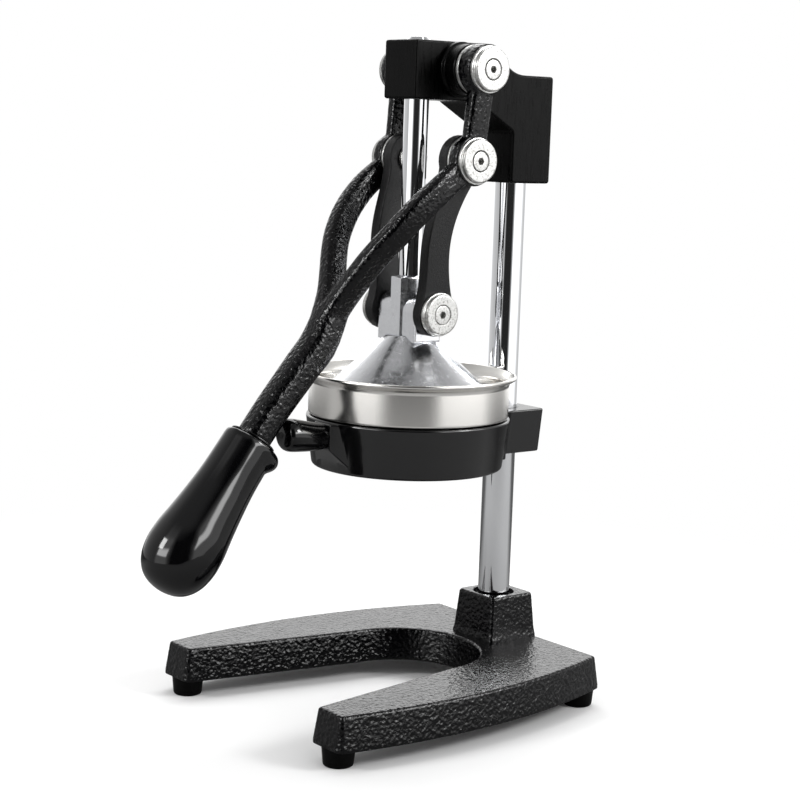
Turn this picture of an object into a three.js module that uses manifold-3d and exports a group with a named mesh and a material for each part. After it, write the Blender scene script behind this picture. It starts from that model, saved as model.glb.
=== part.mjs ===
// Lever citrus juice press: a cast stand, a lever on a linkage, a sliding press cone and a juice cup.
// Millimetres, +Z up, the lever points to -Y. X = 0 is the plane of symmetry.
// Every place is worked out with Y = 0 on the plunger rod; the last step puts the origin under the middle.

import * as THREE from 'three';
import { mergeVertices } from 'three/addons/utils/BufferGeometryUtils.js';
import Module from 'manifold-3d';

const wasm = await Module();
wasm.setup();

// Shared clearances and counts
const gap = 0.3;
const overrun = 2;
const bigSides = 40;
const mediumSides = 24;
const smallSides = 16;
const hexSides = 6;
const sectionCornerShare = 0.62;
const sides = [-1, 1];

// Linkage
const pivotHeight = 371.9;
const pivotSetback = 18.4;
const crankLength = 51.3;
const crankLeanDegrees = 5.5;
const linkLength = 88.4;

// Column and plunger rod
const columnStandOff = 12.8;
const columnRadius = 9.6;
const rodRadius = 7.15;
const rodStandOut = 2.6;
const rodChamfer = 1.8;
const spigotRadius = 4.5;

// Base
const footHeight = 10.7;
const footRadius = 9.3;
const footTaper = 1;
const baseThickness = 19.6;
const baseFront = 105;
const baseBackReach = 17.7;
const baseFrontHalfWidth = 86;
const baseMiddleHalfWidth = 92;
const baseBackHalfWidth = 72.5;
const baseArmFrontWidth = 20.5;
const bayRadius = 47;
const bayCentreSetback = 4;
const baseDraft = 3.4;
const baseEdge = 1.6;
const socketHeight = 26.7;
const socketTopHalfWidth = 16.2;
const socketBottomHalfWidth = 18.3;
const socketSetback = 1.6;
const socketBossRadius = 12.6;
const columnFloor = 9;
const footInset = 6;
const footScrewRadius = 2.6;
const footScrewHeadRadius = 5.3;
const footScrewHeadHeight = 3;

// Column bolt and its washer
const boltRadius = 5;
const boltHeadRadius = 8.5;
const boltHeadHeight = 4;
const boltWasherRadius = 10.5;
const boltWasherHeight = 1.6;
const boltGrip = 22;

// Set screws of the head and the cup holder
const setScrewRadius = 4;
const setScrewLength = 8;

// Head casting
const headTopRise = 15;
const headFront = 13;
const headFrontDrop = 17.5;
const headFrontHalfWidth = 14.4;
const headBackHalfWidth = 17.6;
const headBackReach = 15.4;
const headBlockReach = 15;
const headShoulderDrop = 1;
const headBlockDrop = 63.9;
const headGussetRise = 30;
const headGussetStart = 30;
const headSlopeFootShare = 0.25;
const headSlopeSag = 3.2;
const columnCover = 6;
const bossRadius = 14.4;
const bossReach = 28.1;
const bossFootRadius = 16;
const bossFootReach = 18;

// Pivot hardware
const pivotRadius = 7;
const pinRadius = 5;
const eyeRadius = 14.4;
const upperEyeWidth = 10.2;
const elbowEyeWidth = 7.6;
const pivotWasherWidth = 2.1;
const elbowWasherWidth = 1.4;
const capRadius = 12.3;
const capSkirtRadius = 13.3;
const capSkirtWidth = 1.7;
const capWidth = 4.3;
const capEdge = 0.7;
const screwHeadRadius = 5.6;
const screwHeadDepth = 3;
const screwRadius = 2.6;
const screwLength = 11;
const hexKeyAcross = 4;
const hexKeyDepth = 2;

// Links
const linkWidth = 7.5;
const linkLowerInside = 18.5;
const linkUpperInside = 21.75;
const linkLowerEyeRadius = 13;
const linkWaist = 16;
const linkBow = 7.6;
const linkHeadRadius = 8;
const linkHeadWidth = 2;

// Press cone
const coneBlockHalfWidth = 7.6;
const coneBlockHalfDepth = 10.7;
const coneBlockRise = 20;
const coneLugReach = 17.6;
const coneLowerCapShare = 0.945;
const coneTopDrop = 11.6;
const coneSlopeDegrees = 47.44;
const coneSkirtRadius = 49;
const coneSkirtLip = 2.6;
const coneWall = 4;

// Juice cup and strainer
const cupSetback = 1.6;
const cupRimRise = 13.4;
const cupRimFlare = 3.9;
const cupBead = 1.5;
const coneClearance = 8.9;
const cupWallHeight = 25.5;
const cupThickness = 0.9;
const cupSpoutRadius = 12;
const cupSpoutLength = 9;
const cupFloorDrop = 15;
const cupFloorFall = 7;
const strainerBaseRadius = 46;
const strainerTopRadius = 8;
const strainerHeight = 36;
const strainerThickness = 1;
const strainerHoleRadius = 1.7;
const strainerRowCount = 3;
const strainerHoleCount = 12;

// Cup holder
const holderStandOut = 1.1;
const holderDepth = 29.5;
const holderTaper = 3.4;
const holderWall = 4.2;
const holderLedge = 9;
const holderFloor = 5;
const holderEdge = 3;
const holderBlockHalfWidth = 18.3;
const holderBlockDraft = 2.2;
const holderBlockReach = 18.6;
const holderBlockDrop = 26.8;

// Stub handle on the holder
const stubDrop = 8.2;
const stubNeckHalfWidth = 7.4;
const stubFlareHalfWidth = 17;
const stubFlareRise = 3;
const stubFlareDrop = 0.8;
const stubCornerShare = 0.88;
const stubKnobRadius = 9.6;
const stubKnobRise = 2.6;
const stubKnobNeckRadius = 7.6;
const stubKnobStart = 2.6;
const stubKnobLength = 27;
const stubStudRadius = 3;

// Lever and grip
const armWidth = 11.6;
const armThickness = 9.2;
const armShoulderShare = 0.68;
const forkWidth = 15.6;
const forkThickness = 11.6;
const shaftTopRadius = 10.2;
const shaftEndRadius = 9.1;
const gripLeanDegrees = 53.4;
const gripStandOff = 19.2;
const gripRise = 2.4;
const gripLength = 99;
const gripTopRadius = 15.4;
const gripBulbRadius = 21.9;
const gripLip = 5;
const gripLipPlaceShare = 0.05;
const gripLipReachShare = 0.07;
const tangRadius = 6;
const tangShare = 0.62;
const collarWidth = 1.6;
const collarRadius = 13.4;

// Places that follow from the sizes
const crankLean = THREE.MathUtils.degToRad(crankLeanDegrees);
const pivot = { y: pivotSetback, z: pivotHeight };
const elbow = {
  y: pivot.y - crankLength * Math.sin(crankLean),
  z: pivot.z - crankLength * Math.cos(crankLean),
};
const crosshead = { y: 0, z: elbow.z - Math.sqrt(linkLength ** 2 - elbow.y ** 2) };
const baseTop = footHeight + baseThickness;
const socketTop = baseTop + socketHeight;
const headTop = pivot.z + headTopRise;
const headShoulder = pivot.z - headShoulderDrop;
const headBottom = pivot.z - headBlockDrop;
const coneBlockTop = crosshead.z + coneBlockRise;
const coneTop = crosshead.z - coneTopDrop;
const coneTopRadius = coneBlockHalfDepth;
const coneSlope = Math.tan(THREE.MathUtils.degToRad(coneSlopeDegrees));
const coneBottom = coneTop - (coneSkirtRadius - coneTopRadius) / coneSlope - coneSkirtLip;
const cupRimTop = coneBottom + cupRimRise;
const cupWallRadius = coneSkirtRadius + coneClearance + cupThickness;
const cupRimRadius = cupWallRadius + cupRimFlare;
const holderRadius = cupWallRadius + holderStandOut;
const columnSetback = cupSetback + holderRadius + columnStandOff;
const baseBack = columnSetback + baseBackReach;
const holderTop = cupRimTop - cupWallHeight;
const holderBottom = holderTop - holderDepth;
const upperEyeInside = bossReach + pivotWasherWidth;
const upperEyeOutside = upperEyeInside + upperEyeWidth;
const elbowEyeInside = linkUpperInside + linkWidth + gap + elbowWasherWidth;
const elbowEyeOutside = elbowEyeInside + elbowEyeWidth;
const lowerCapInside = linkLowerInside + linkWidth + gap;
const footRecessDepth = footHeight / 2;
const footScrewReach = baseThickness / 2;
const boltRecess = boltHeadHeight + boltWasherHeight;
const seatHeight = footHeight + columnFloor;
const columnTop = headShoulder - columnCover;
const headBack = columnSetback + headBackReach;
const headBlockFront = columnSetback - headBlockReach;
const headFrontBottom = pivot.z - headFrontDrop;
const headSetScrewHeight = headBottom + headGussetRise / 2;
const cupLowerRadius = holderRadius - holderWall - gap;
const cupBottom = holderTop - cupFloorDrop;
const strainerFlangeRadius = cupLowerRadius - 2 * cupThickness;
const strainerBottom = cupBottom + 2 * cupThickness + gap * Math.SQRT2;
const stubHeight = holderTop - stubDrop;
const holderFront = cupSetback - holderRadius;
const knobStart = holderFront - stubKnobStart;
const studEnd = knobStart - stubKnobLength / 2;
const knobEnd = knobStart - stubKnobLength;
const holderBlockBack = columnSetback + holderBlockReach;
const holderSetScrewHeight = holderTop - holderBlockDrop / 2;

// Finishes
function finish(color, roughness, metalness) {
  return () => new THREE.MeshStandardMaterial({ color, roughness, metalness });
}
const hammeredBlack = finish(0x101012, 0.35, 0.1);
const satinBlack = finish(0x1a1a1c, 0.5, 0.1);
const glossBlack = finish(0x0b0b0c, 0.15, 0.1);
const blackPlastic = finish(0x0d0d0f, 0.2, 0);
const blackRubber = finish(0x141414, 0.8, 0);
const chrome = finish(0xd9dbde, 0.08, 1);
const zinc = finish(0xc4c6c8, 0.35, 1);
const stainless = finish(0xc8c2b8, 0.3, 1);
const polishedAluminium = finish(0xd2d4d8, 0.15, 1);

// Group that holds every sub-part
const press = new THREE.Group();

function piece(name, geometry, material) {
  const mesh = new THREE.Mesh(geometry, material());
  mesh.name = name;
  press.add(mesh);
  return mesh;
}

function sideName(side) {
  return side > 0 ? 'right' : 'left';
}

// Solid helpers
function toSolid(geometry) {
  const bare = geometry.clone();
  bare.deleteAttribute('normal');
  bare.deleteAttribute('uv');
  const merged = mergeVertices(bare);
  const mesh = new wasm.Mesh({
    numProp: 3,
    vertProperties: new Float32Array(merged.attributes.position.array),
    triVerts: new Uint32Array(merged.index.array),
  });
  return new wasm.Manifold(mesh);
}

function toGeometry(solid) {
  const mesh = solid.getMesh();
  const geometry = new THREE.BufferGeometry();
  const position = new THREE.BufferAttribute(new Float32Array(mesh.vertProperties), 3);
  geometry.setAttribute('position', position);
  geometry.setIndex(new THREE.BufferAttribute(new Uint32Array(mesh.triVerts), 1));
  geometry.computeVertexNormals();
  return geometry;
}

function build(added, removed = []) {
  const whole = added.map(toSolid).reduce((sum, solid) => sum.add(solid));
  return toGeometry(removed.map(toSolid).reduce((rest, solid) => rest.subtract(solid), whole));
}

function rod(radius, start, end, sidesRound = mediumSides) {
  const geometry = new THREE.CylinderGeometry(radius, radius, end - start, sidesRound);
  return geometry.rotateX(Math.PI / 2).translate(0, 0, (start + end) / 2);
}

// A rod lying along X between two places, through the point (y, z)
function crossRod(radius, start, end, centre, sidesRound = mediumSides) {
  return rod(radius, start, end, sidesRound).rotateY(Math.PI / 2).translate(0, centre.y, centre.z);
}

function box(low, high) {
  const geometry = new THREE.BoxGeometry(high[0] - low[0], high[1] - low[1], high[2] - low[2]);
  return geometry.translate((low[0] + high[0]) / 2, (low[1] + high[1]) / 2, (low[2] + high[2]) / 2);
}

// A turned solid about Z; the outline is a closed loop of [radius, height] points, counter-clockwise
function turned(outline, sidesRound = mediumSides) {
  const closed = [...outline, outline[0]].map(([radius, height]) => new THREE.Vector2(radius, height));
  return new THREE.LatheGeometry(closed, sidesRound).rotateX(Math.PI / 2);
}

// A turned solid that touches its own axis, from the bottom of the axis to the top of it
function turnedSolid(outline, sidesRound = mediumSides) {
  const points = outline.map(([radius, height]) => new THREE.Vector2(radius, height));
  return new THREE.LatheGeometry(points, sidesRound).rotateX(Math.PI / 2);
}

// Turns a shape made along +Z so that it points out of the press on one side, at a pivot
function onSide(geometry, side, inside, centre) {
  return geometry.rotateY(side * Math.PI / 2).translate(side * inside, centre.y, centre.z);
}

// A plate cut to a side-view outline of [y, z] points, between two places along X
function sidePlate(outline, start, end) {
  const shape = new THREE.Shape(outline.map(([y, z]) => new THREE.Vector2(y, z)));
  const geometry = new THREE.ExtrudeGeometry(shape, { depth: end - start, bevelEnabled: false });
  const order = new THREE.Matrix4().makeBasis(
    new THREE.Vector3(0, 1, 0),
    new THREE.Vector3(0, 0, 1),
    new THREE.Vector3(1, 0, 0),
  );
  return geometry.applyMatrix4(order).translate(start, 0, 0);
}

function reversed(geometry) {
  const index = geometry.index.array;
  for (let corner = 0; corner < index.length; corner += 3) {
    [index[corner], index[corner + 2]] = [index[corner + 2], index[corner]];
  }
  return geometry;
}

function volume(geometry) {
  const position = geometry.attributes.position;
  const index = geometry.index.array;
  const [a, b, c] = [new THREE.Vector3(), new THREE.Vector3(), new THREE.Vector3()];
  let sum = 0;
  for (let corner = 0; corner < index.length; corner += 3) {
    a.fromBufferAttribute(position, index[corner]);
    b.fromBufferAttribute(position, index[corner + 1]);
    c.fromBufferAttribute(position, index[corner + 2]);
    sum += a.dot(b.cross(c));
  }
  return sum;
}

// Skins a row of rings that all have the same number of points; the ends are closed flat
function skin(rings, flatOutline) {
  const count = rings[0].length;
  const positions = rings.flat().flatMap((point) => [point.x, point.y, point.z]);
  const faces = [];
  for (let ring = 0; ring + 1 < rings.length; ring += 1) {
    for (let step = 0; step < count; step += 1) {
      const here = ring * count + step;
      const beside = ring * count + ((step + 1) % count);
      faces.push(here, beside, beside + count, here, beside + count, here + count);
    }
  }
  const cap = THREE.ShapeUtils.triangulateShape(flatOutline, []);
  const last = (rings.length - 1) * count;
  cap.forEach(([a, b, c]) => faces.push(a, c, b, last + a, last + b, last + c));
  const geometry = new THREE.BufferGeometry();
  geometry.setAttribute('position', new THREE.Float32BufferAttribute(positions, 3));
  geometry.setIndex(faces);
  return volume(geometry) < 0 ? reversed(geometry) : geometry;
}

// A block whose outline changes with height; each level is [height, outline of Vector2]
function stacked(levels) {
  const rings = levels.map(([height, outline]) => (
    outline.map((point) => new THREE.Vector3(point.x, point.y, height))
  ));
  return skin(rings, levels[0][1]);
}

function rectangle(halfWidth, front, back) {
  return [
    new THREE.Vector2(-halfWidth, front),
    new THREE.Vector2(halfWidth, front),
    new THREE.Vector2(halfWidth, back),
    new THREE.Vector2(-halfWidth, back),
  ];
}

// Moves an outline outwards, square to its own edges
function grown(outline, distance) {
  return outline.map((point, index) => {
    const before = outline[(index + outline.length - 1) % outline.length];
    const after = outline[(index + 1) % outline.length];
    const along = after.clone().sub(before).normalize();
    return new THREE.Vector2(point.x + along.y * distance, point.y - along.x * distance);
  });
}

// Base casting: a U that opens to the front, with the column socket at the back
function baseOutline() {
  const right = new THREE.QuadraticBezierCurve(
    new THREE.Vector2(baseFrontHalfWidth, -baseFront),
    new THREE.Vector2(2 * baseMiddleHalfWidth - (baseFrontHalfWidth + baseBackHalfWidth) / 2, 0),
    new THREE.Vector2(baseBackHalfWidth, baseBack),
  ).getPoints(smallSides / 2);
  const left = right.map((point) => new THREE.Vector2(-point.x, point.y)).reverse();
  const bayArc = new THREE.EllipseCurve(0, bayCentreSetback, bayRadius, bayRadius, Math.PI, 0, true);
  const bay = bayArc.getPoints(smallSides);
  const tip = baseFrontHalfWidth - baseArmFrontWidth;
  return [...right, ...left, new THREE.Vector2(-tip, -baseFront), ...bay, new THREE.Vector2(tip, -baseFront)];
}

const footPlaces = [
  ['foot_front_left', -1, -1],
  ['foot_front_right', 1, -1],
  ['foot_rear_left', -1, 1],
  ['foot_rear_right', 1, 1],
].map(([name, side, end]) => {
  const halfWidth = end < 0 ? baseFrontHalfWidth - baseArmFrontWidth / 2 : baseBackHalfWidth - footInset;
  const along = end < 0 ? -baseFront + footInset : baseBack - footInset;
  return { name, x: side * halfWidth, y: along };
});
function makeBase() {
  const top = baseOutline();
  const bottom = grown(top, baseDraft);
  const plate = stacked([
    [footHeight, bottom],
    [baseTop - baseEdge, grown(top, baseEdge / 2)],
    [baseTop, grown(top, -baseEdge / 2)],
  ]);
  const socketY = columnSetback + socketSetback;
  const square = (halfWidth) => rectangle(halfWidth, socketY - halfWidth, socketY + halfWidth);
  const socket = stacked([
    [baseTop - overrun, square(socketBottomHalfWidth)],
    [socketTop, square(socketTopHalfWidth)],
  ]);
  const bore = rod(columnRadius + gap, seatHeight, socketTop + overrun).translate(0, columnSetback, 0);
  const mouth = rod(socketBossRadius, socketTop - overrun, socketTop + overrun);
  mouth.translate(0, columnSetback, 0);
  const boltHole = rod(boltRadius + gap, footHeight - overrun, seatHeight + overrun, smallSides);
  const counterbore = rod(boltWasherRadius + gap, footHeight - overrun, footHeight + boltRecess);
  const belowColumn = [boltHole, counterbore].map((hole) => hole.translate(0, columnSetback, 0));
  const screwHoleTop = footHeight + footScrewReach + gap;
  const screwHoles = footPlaces.map(({ x, y }) => (
    rod(footScrewRadius + gap, footHeight - overrun, screwHoleTop, smallSides / 2).translate(x, y, 0)
  ));
  return build([plate, socket], [bore, mouth, ...belowColumn, ...screwHoles]);
}

piece('base_casting', makeBase(), hammeredBlack);

// Rubber feet, each held by a screw in its recess
footPlaces.forEach(({ name, x, y }) => {
  const recess = footScrewHeadRadius + gap;
  const foot = turned([
    [recess, 0],
    [footRadius - footTaper, 0],
    [footRadius, footHeight],
    [footScrewRadius + gap, footHeight],
    [footScrewRadius + gap, footRecessDepth],
    [recess, footRecessDepth],
  ], smallSides);
  piece(name, foot.translate(x, y, 0), blackRubber);
});

footPlaces.forEach(({ name, x, y }) => {
  const screw = turnedSolid([
    [0, footRecessDepth - gap - footScrewHeadHeight],
    [footScrewHeadRadius, footRecessDepth - gap - footScrewHeadHeight],
    [footScrewHeadRadius, footRecessDepth - gap],
    [footScrewRadius, footRecessDepth - gap],
    [footScrewRadius, footHeight + footScrewReach],
    [0, footHeight + footScrewReach],
  ], smallSides / 2);
  piece(name.replace('foot', 'foot_screw'), screw.translate(x, y, 0), zinc);
});

// Column bolt, from below through the base
piece('column_washer', turned([
  [boltRadius + gap, footHeight + boltHeadHeight],
  [boltWasherRadius, footHeight + boltHeadHeight],
  [boltWasherRadius, footHeight + boltRecess],
  [boltRadius + gap, footHeight + boltRecess],
], smallSides).translate(0, columnSetback, 0), zinc);
const boltHead = rod(boltHeadRadius, footHeight, footHeight + boltHeadHeight, hexSides);
const boltShank = rod(boltRadius, footHeight + overrun, seatHeight + boltGrip, smallSides);
piece('column_bolt', build([boltHead, boltShank]).translate(0, columnSetback, 0), zinc);

// Column: a polished round bar, tapped at the foot, blind in the head
const columnBar = rod(columnRadius, seatHeight + gap, columnTop - gap);
const tappedHole = rod(boltRadius + gap, seatHeight - overrun, seatHeight + boltGrip + overrun, smallSides);
piece('column', build([columnBar], [tappedHole]).translate(0, columnSetback, 0), chrome);

// Set screws that lock the head and the cup holder on the column
function setScrew(height, back) {
  const tip = columnSetback + columnRadius + gap;
  const end = Math.min(back - gap, tip + setScrewLength);
  const body = rod(setScrewRadius, tip, end, smallSides);
  const key = rod(hexKeyAcross / Math.sqrt(3), end - hexKeyDepth, end + overrun, hexSides);
  return build([body], [key]).rotateX(-Math.PI / 2).translate(0, 0, height);
}

function setScrewHole(height, back) {
  const hole = rod(setScrewRadius + gap, columnSetback, back + overrun, smallSides);
  return hole.rotateX(-Math.PI / 2).translate(0, 0, height);
}

// Head casting: front guide block, web, gusset and the block on the column
function makeHead() {
  const slopeFall = headTop - headShoulder;
  const slopeTop = headBlockFront - slopeFall;
  const backOutline = [
    [headBlockFront, headBottom + headGussetRise],
    [headBlockFront, headBottom],
    [headBack, headBottom],
    [headBack, headShoulder],
    [headBlockFront + slopeFall * headSlopeFootShare, headShoulder],
    [headBlockFront - slopeFall * headSlopeFootShare, headShoulder + headSlopeSag],
    [slopeTop, headTop],
  ];
  const outline = [
    [-headFront, headFrontBottom],
    [headGussetStart, headFrontBottom],
    ...backOutline,
    [-headFront, headTop],
  ];
  const thin = sidePlate(outline, -headFrontHalfWidth, headFrontHalfWidth);
  const broad = sidePlate([
    [headGussetStart, headFrontBottom],
    ...backOutline.map(([y, z]) => [Math.max(y, headGussetStart), z]),
    [headGussetStart, headTop],
  ], -headBackHalfWidth, headBackHalfWidth);
  const bosses = crossRod(bossRadius, -bossReach, bossReach, pivot);
  const bossFoot = crossRod(bossFootRadius - gap, -bossFootReach, bossFootReach, pivot);
  const rodBore = rod(rodRadius + gap, headFrontBottom - overrun, headTop + overrun);
  const pivotBore = crossRod(pivotRadius + gap, -bossReach - overrun, bossReach + overrun, pivot);
  const columnBore = rod(columnRadius + gap, headBottom - overrun, columnTop).translate(0, columnSetback, 0);
  const screwHole = setScrewHole(headSetScrewHeight, headBack);
  return build([thin, broad, bosses, bossFoot], [rodBore, pivotBore, columnBore, screwHole]);
}

piece('head_casting', makeHead(), satinBlack);
piece('head_set_screw', setScrew(headSetScrewHeight, headBack), zinc);

// Pins, washers, caps and screws of the three pivots
function cap(radiusShare = 1) {
  const head = screwHeadRadius + gap;
  return turned([
    [screwRadius + gap, 0],
    [capSkirtRadius * radiusShare, 0],
    [capSkirtRadius * radiusShare, capSkirtWidth],
    [capRadius * radiusShare, capSkirtWidth],
    [capRadius * radiusShare, capWidth - capEdge],
    [capRadius * radiusShare - capEdge, capWidth],
    [head, capWidth],
    [screwRadius + gap, capWidth - screwHeadDepth],
  ], mediumSides);
}

function capScrew() {
  const profile = turnedSolid([
    [0, capWidth - screwLength],
    [screwRadius, capWidth - screwLength],
    [screwRadius, capWidth - screwHeadDepth],
    [screwHeadRadius, capWidth],
    [0, capWidth],
  ], smallSides);
  const key = rod(hexKeyAcross / Math.sqrt(3), capWidth - hexKeyDepth, capWidth + overrun, hexSides);
  return build([profile], [key]);
}

function tappedPin(radius, start, end, tapped, centre) {
  const reach = screwLength - capWidth + overrun;
  const taps = tapped.map((side) => {
    const low = side > 0 ? end - reach : start - overrun;
    const high = side > 0 ? end + overrun : start + reach;
    return crossRod(screwRadius + gap, low, high, centre, smallSides / 2);
  });
  return build([crossRod(radius, start, end, centre, smallSides)], taps);
}

function washer(radius, hole, width) {
  return turned([[hole, 0], [radius, 0], [radius, width], [hole, width]], smallSides);
}

piece('pivot_shaft', tappedPin(pivotRadius, -upperEyeOutside, upperEyeOutside, sides, pivot), zinc);
piece('cross_pin', tappedPin(pinRadius, -lowerCapInside, lowerCapInside, sides, crosshead), zinc);

sides.forEach((side) => {
  const name = sideName(side);
  piece(`pivot_washer_${name}`,
    onSide(washer(eyeRadius, pivotRadius + gap, pivotWasherWidth), side, bossReach, pivot), zinc);
  piece(`pivot_cap_${name}`, onSide(cap(), side, upperEyeOutside, pivot), zinc);
  piece(`pivot_screw_${name}`, onSide(capScrew(), side, upperEyeOutside, pivot), zinc);
  const elbowWasherInside = elbowEyeInside - elbowWasherWidth;
  const pinStart = Math.min(side * elbowWasherInside, side * elbowEyeOutside);
  const pinEnd = Math.max(side * elbowWasherInside, side * elbowEyeOutside);
  piece(`elbow_pin_${name}`, tappedPin(pinRadius, pinStart, pinEnd, [side], elbow), zinc);
  piece(`elbow_washer_${name}`,
    onSide(washer(eyeRadius, pinRadius + gap, elbowWasherWidth), side, elbowWasherInside, elbow), zinc);
  piece(`elbow_cap_${name}`, onSide(cap(), side, elbowEyeOutside, elbow), zinc);
  piece(`elbow_screw_${name}`, onSide(capScrew(), side, elbowEyeOutside, elbow), zinc);
  piece(`lower_cap_${name}`, onSide(cap(coneLowerCapShare), side, lowerCapInside, crosshead), zinc);
  piece(`lower_screw_${name}`, onSide(capScrew(), side, lowerCapInside, crosshead), zinc);
});

// Links: flat bowed bars, set out a little further at the top than at the bottom
function linkOutline() {
  const axis = new THREE.Vector2(elbow.y - crosshead.y, elbow.z - crosshead.z);
  const along = axis.clone().normalize();
  const back = new THREE.Vector2(along.y, -along.x);
  const place = (share, offset) => new THREE.Vector2(
    crosshead.y + axis.x * share + back.x * offset,
    crosshead.z + axis.y * share + back.y * offset,
  );
  const half = linkWaist / 2;
  const bowShares = [0.24, 0.4, 0.56, 0.74];
  const frontEdge = bowShares.map((share) => place(share, -half - linkBow * Math.sin(Math.PI * share)));
  const backEdge = bowShares.map((share) => place(share, half - linkBow * Math.sin(Math.PI * share)));
  const arc = (centre, radius, start, end) => new THREE.EllipseCurve(
    centre.y, centre.z, radius, radius, start, end, false,
  ).getPoints(smallSides / 2);
  const lean = Math.atan2(along.y, along.x);
  const lower = arc(crosshead, linkLowerEyeRadius, lean + Math.PI / 2, lean + 3 * Math.PI / 2);
  const upper = arc(elbow, eyeRadius, lean - Math.PI / 2, lean + Math.PI / 2);
  return [...lower, ...backEdge, ...upper, ...frontEdge.reverse()].map((point) => [point.x, point.y]);
}

function slice(geometry, low, high) {
  const reach = linkLength;
  const slab = box([-reach, -reach, low], [reach, reach, high]);
  return toGeometry(toSolid(geometry).intersect(toSolid(slab)));
}

// The plate is flat round each eye; between them it leans outwards
function makeLink() {
  const plate = sidePlate(linkOutline(), 0, linkWidth);
  const low = crosshead.z + linkLowerEyeRadius + gap;
  const high = elbow.z - eyeRadius - gap;
  const lean = new THREE.Matrix4();
  lean.elements[8] = (linkUpperInside - linkLowerInside) / (high - low);
  const lower = slice(plate, crosshead.z - linkLength, low).translate(linkLowerInside, 0, 0);
  const middle = slice(plate, low, high).translate(0, 0, -low).applyMatrix4(lean);
  middle.translate(linkLowerInside, 0, low);
  const upper = slice(plate, high, elbow.z + linkLength).translate(linkUpperInside, 0, 0);
  const holeEnd = linkUpperInside + linkWidth + overrun;
  const lowerHole = crossRod(pinRadius + gap, 0, holeEnd, crosshead, smallSides);
  const upperHole = crossRod(pinRadius + gap, 0, holeEnd, elbow, smallSides);
  return build([lower, middle, upper], [lowerHole, upperHole]);
}

function mirrored(geometry, side) {
  return side > 0 ? geometry : reversed(geometry.scale(-1, 1, 1));
}

sides.forEach((side) => {
  const name = sideName(side);
  piece(`link_${name}`, mirrored(makeLink(), side), satinBlack);
  const head = turnedSolid([
    [0, 0],
    [linkHeadRadius, 0],
    [linkHeadRadius, linkHeadWidth - gap],
    [pinRadius, linkHeadWidth - gap],
    [pinRadius, linkHeadWidth + linkWidth],
    [0, linkHeadWidth + linkWidth],
  ], smallSides);
  piece(`link_pin_${name}`, onSide(head, side, linkUpperInside - linkHeadWidth, elbow), zinc);
});

// Plunger rod and press cone
piece('plunger_rod', turnedSolid([
  [0, crosshead.z + pinRadius + overrun],
  [spigotRadius, crosshead.z + pinRadius + overrun],
  [spigotRadius, coneBlockTop + gap],
  [rodRadius, coneBlockTop + gap],
  [rodRadius, headTop + rodStandOut - rodChamfer],
  [rodRadius - rodChamfer, headTop + rodStandOut],
  [0, headTop + rodStandOut],
], mediumSides), chrome);

function makeCone() {
  const outer = turnedSolid([
    [0, coneBottom],
    [coneSkirtRadius, coneBottom],
    [coneSkirtRadius, coneBottom + coneSkirtLip],
    [coneTopRadius, coneTop],
    [0, coneTop],
  ], bigSides);
  const slant = coneWall * Math.hypot(1, coneSlope) / coneSlope;
  const inner = turnedSolid([
    [0, coneBottom - overrun],
    [coneSkirtRadius - slant + overrun / coneSlope, coneBottom - overrun],
    [coneSkirtRadius - slant, coneBottom],
    [coneTopRadius, coneTop - slant * coneSlope],
    [0, coneTop - slant * coneSlope],
  ], mediumSides);
  const block = box(
    [-coneBlockHalfWidth, -coneBlockHalfDepth, coneTop - coneWall],
    [coneBlockHalfWidth, coneBlockHalfDepth, coneBlockTop],
  );
  const lugFoot = coneTop - (coneLugReach - coneTopRadius) / coneSlope - coneWall;
  const lugs = box(
    [-coneLugReach, -coneBlockHalfDepth, lugFoot],
    [coneLugReach, coneBlockHalfDepth, crosshead.z],
  );
  const lugTops = crossRod(coneBlockHalfDepth, -coneLugReach, coneLugReach, crosshead);
  const drillReach = coneLugReach + overrun;
  const pinHole = crossRod(pinRadius + gap, -drillReach, drillReach, crosshead, smallSides);
  const spigotHole = rod(spigotRadius + gap, crosshead.z, coneBlockTop + overrun, smallSides);
  return build([outer, block, lugs, lugTops], [inner, pinHole, spigotHole]);
}
piece('press_cone', makeCone(), polishedAluminium);

// Juice cup: a steel bowl with a rolled rim that stands on the holder and drains through a spout
function makeCup() {
  const beadTop = cupRimTop;
  const t = cupThickness;
  return turned([
    [cupSpoutRadius, cupBottom - cupFloorFall - cupSpoutLength],
    [cupSpoutRadius, cupBottom - cupFloorFall],
    [cupLowerRadius - 2 * t, cupBottom],
    [cupLowerRadius, cupBottom + 2 * t],
    [cupLowerRadius, holderTop + gap],
    [cupWallRadius, holderTop + gap],
    [cupWallRadius, beadTop - 4 * cupBead],
    [cupRimRadius - cupBead, beadTop - 2 * cupBead],
    [cupRimRadius, beadTop - cupBead],
    [cupRimRadius - cupBead, beadTop],
    [cupRimRadius - 2 * cupBead, beadTop - cupBead / 2],
    [cupWallRadius - t, beadTop - 4 * cupBead + t],
    [cupWallRadius - t, holderTop + gap + t],
    [cupLowerRadius - t, holderTop + gap + t],
    [cupLowerRadius - t, cupBottom + 3 * t],
    [cupLowerRadius - 3 * t, cupBottom + t],
    [cupSpoutRadius - t, cupBottom - cupFloorFall + t],
    [cupSpoutRadius - t, cupBottom - cupFloorFall - cupSpoutLength],
  ], bigSides).translate(0, cupSetback, 0);
}
piece('juice_cup', makeCup(), stainless);

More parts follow.
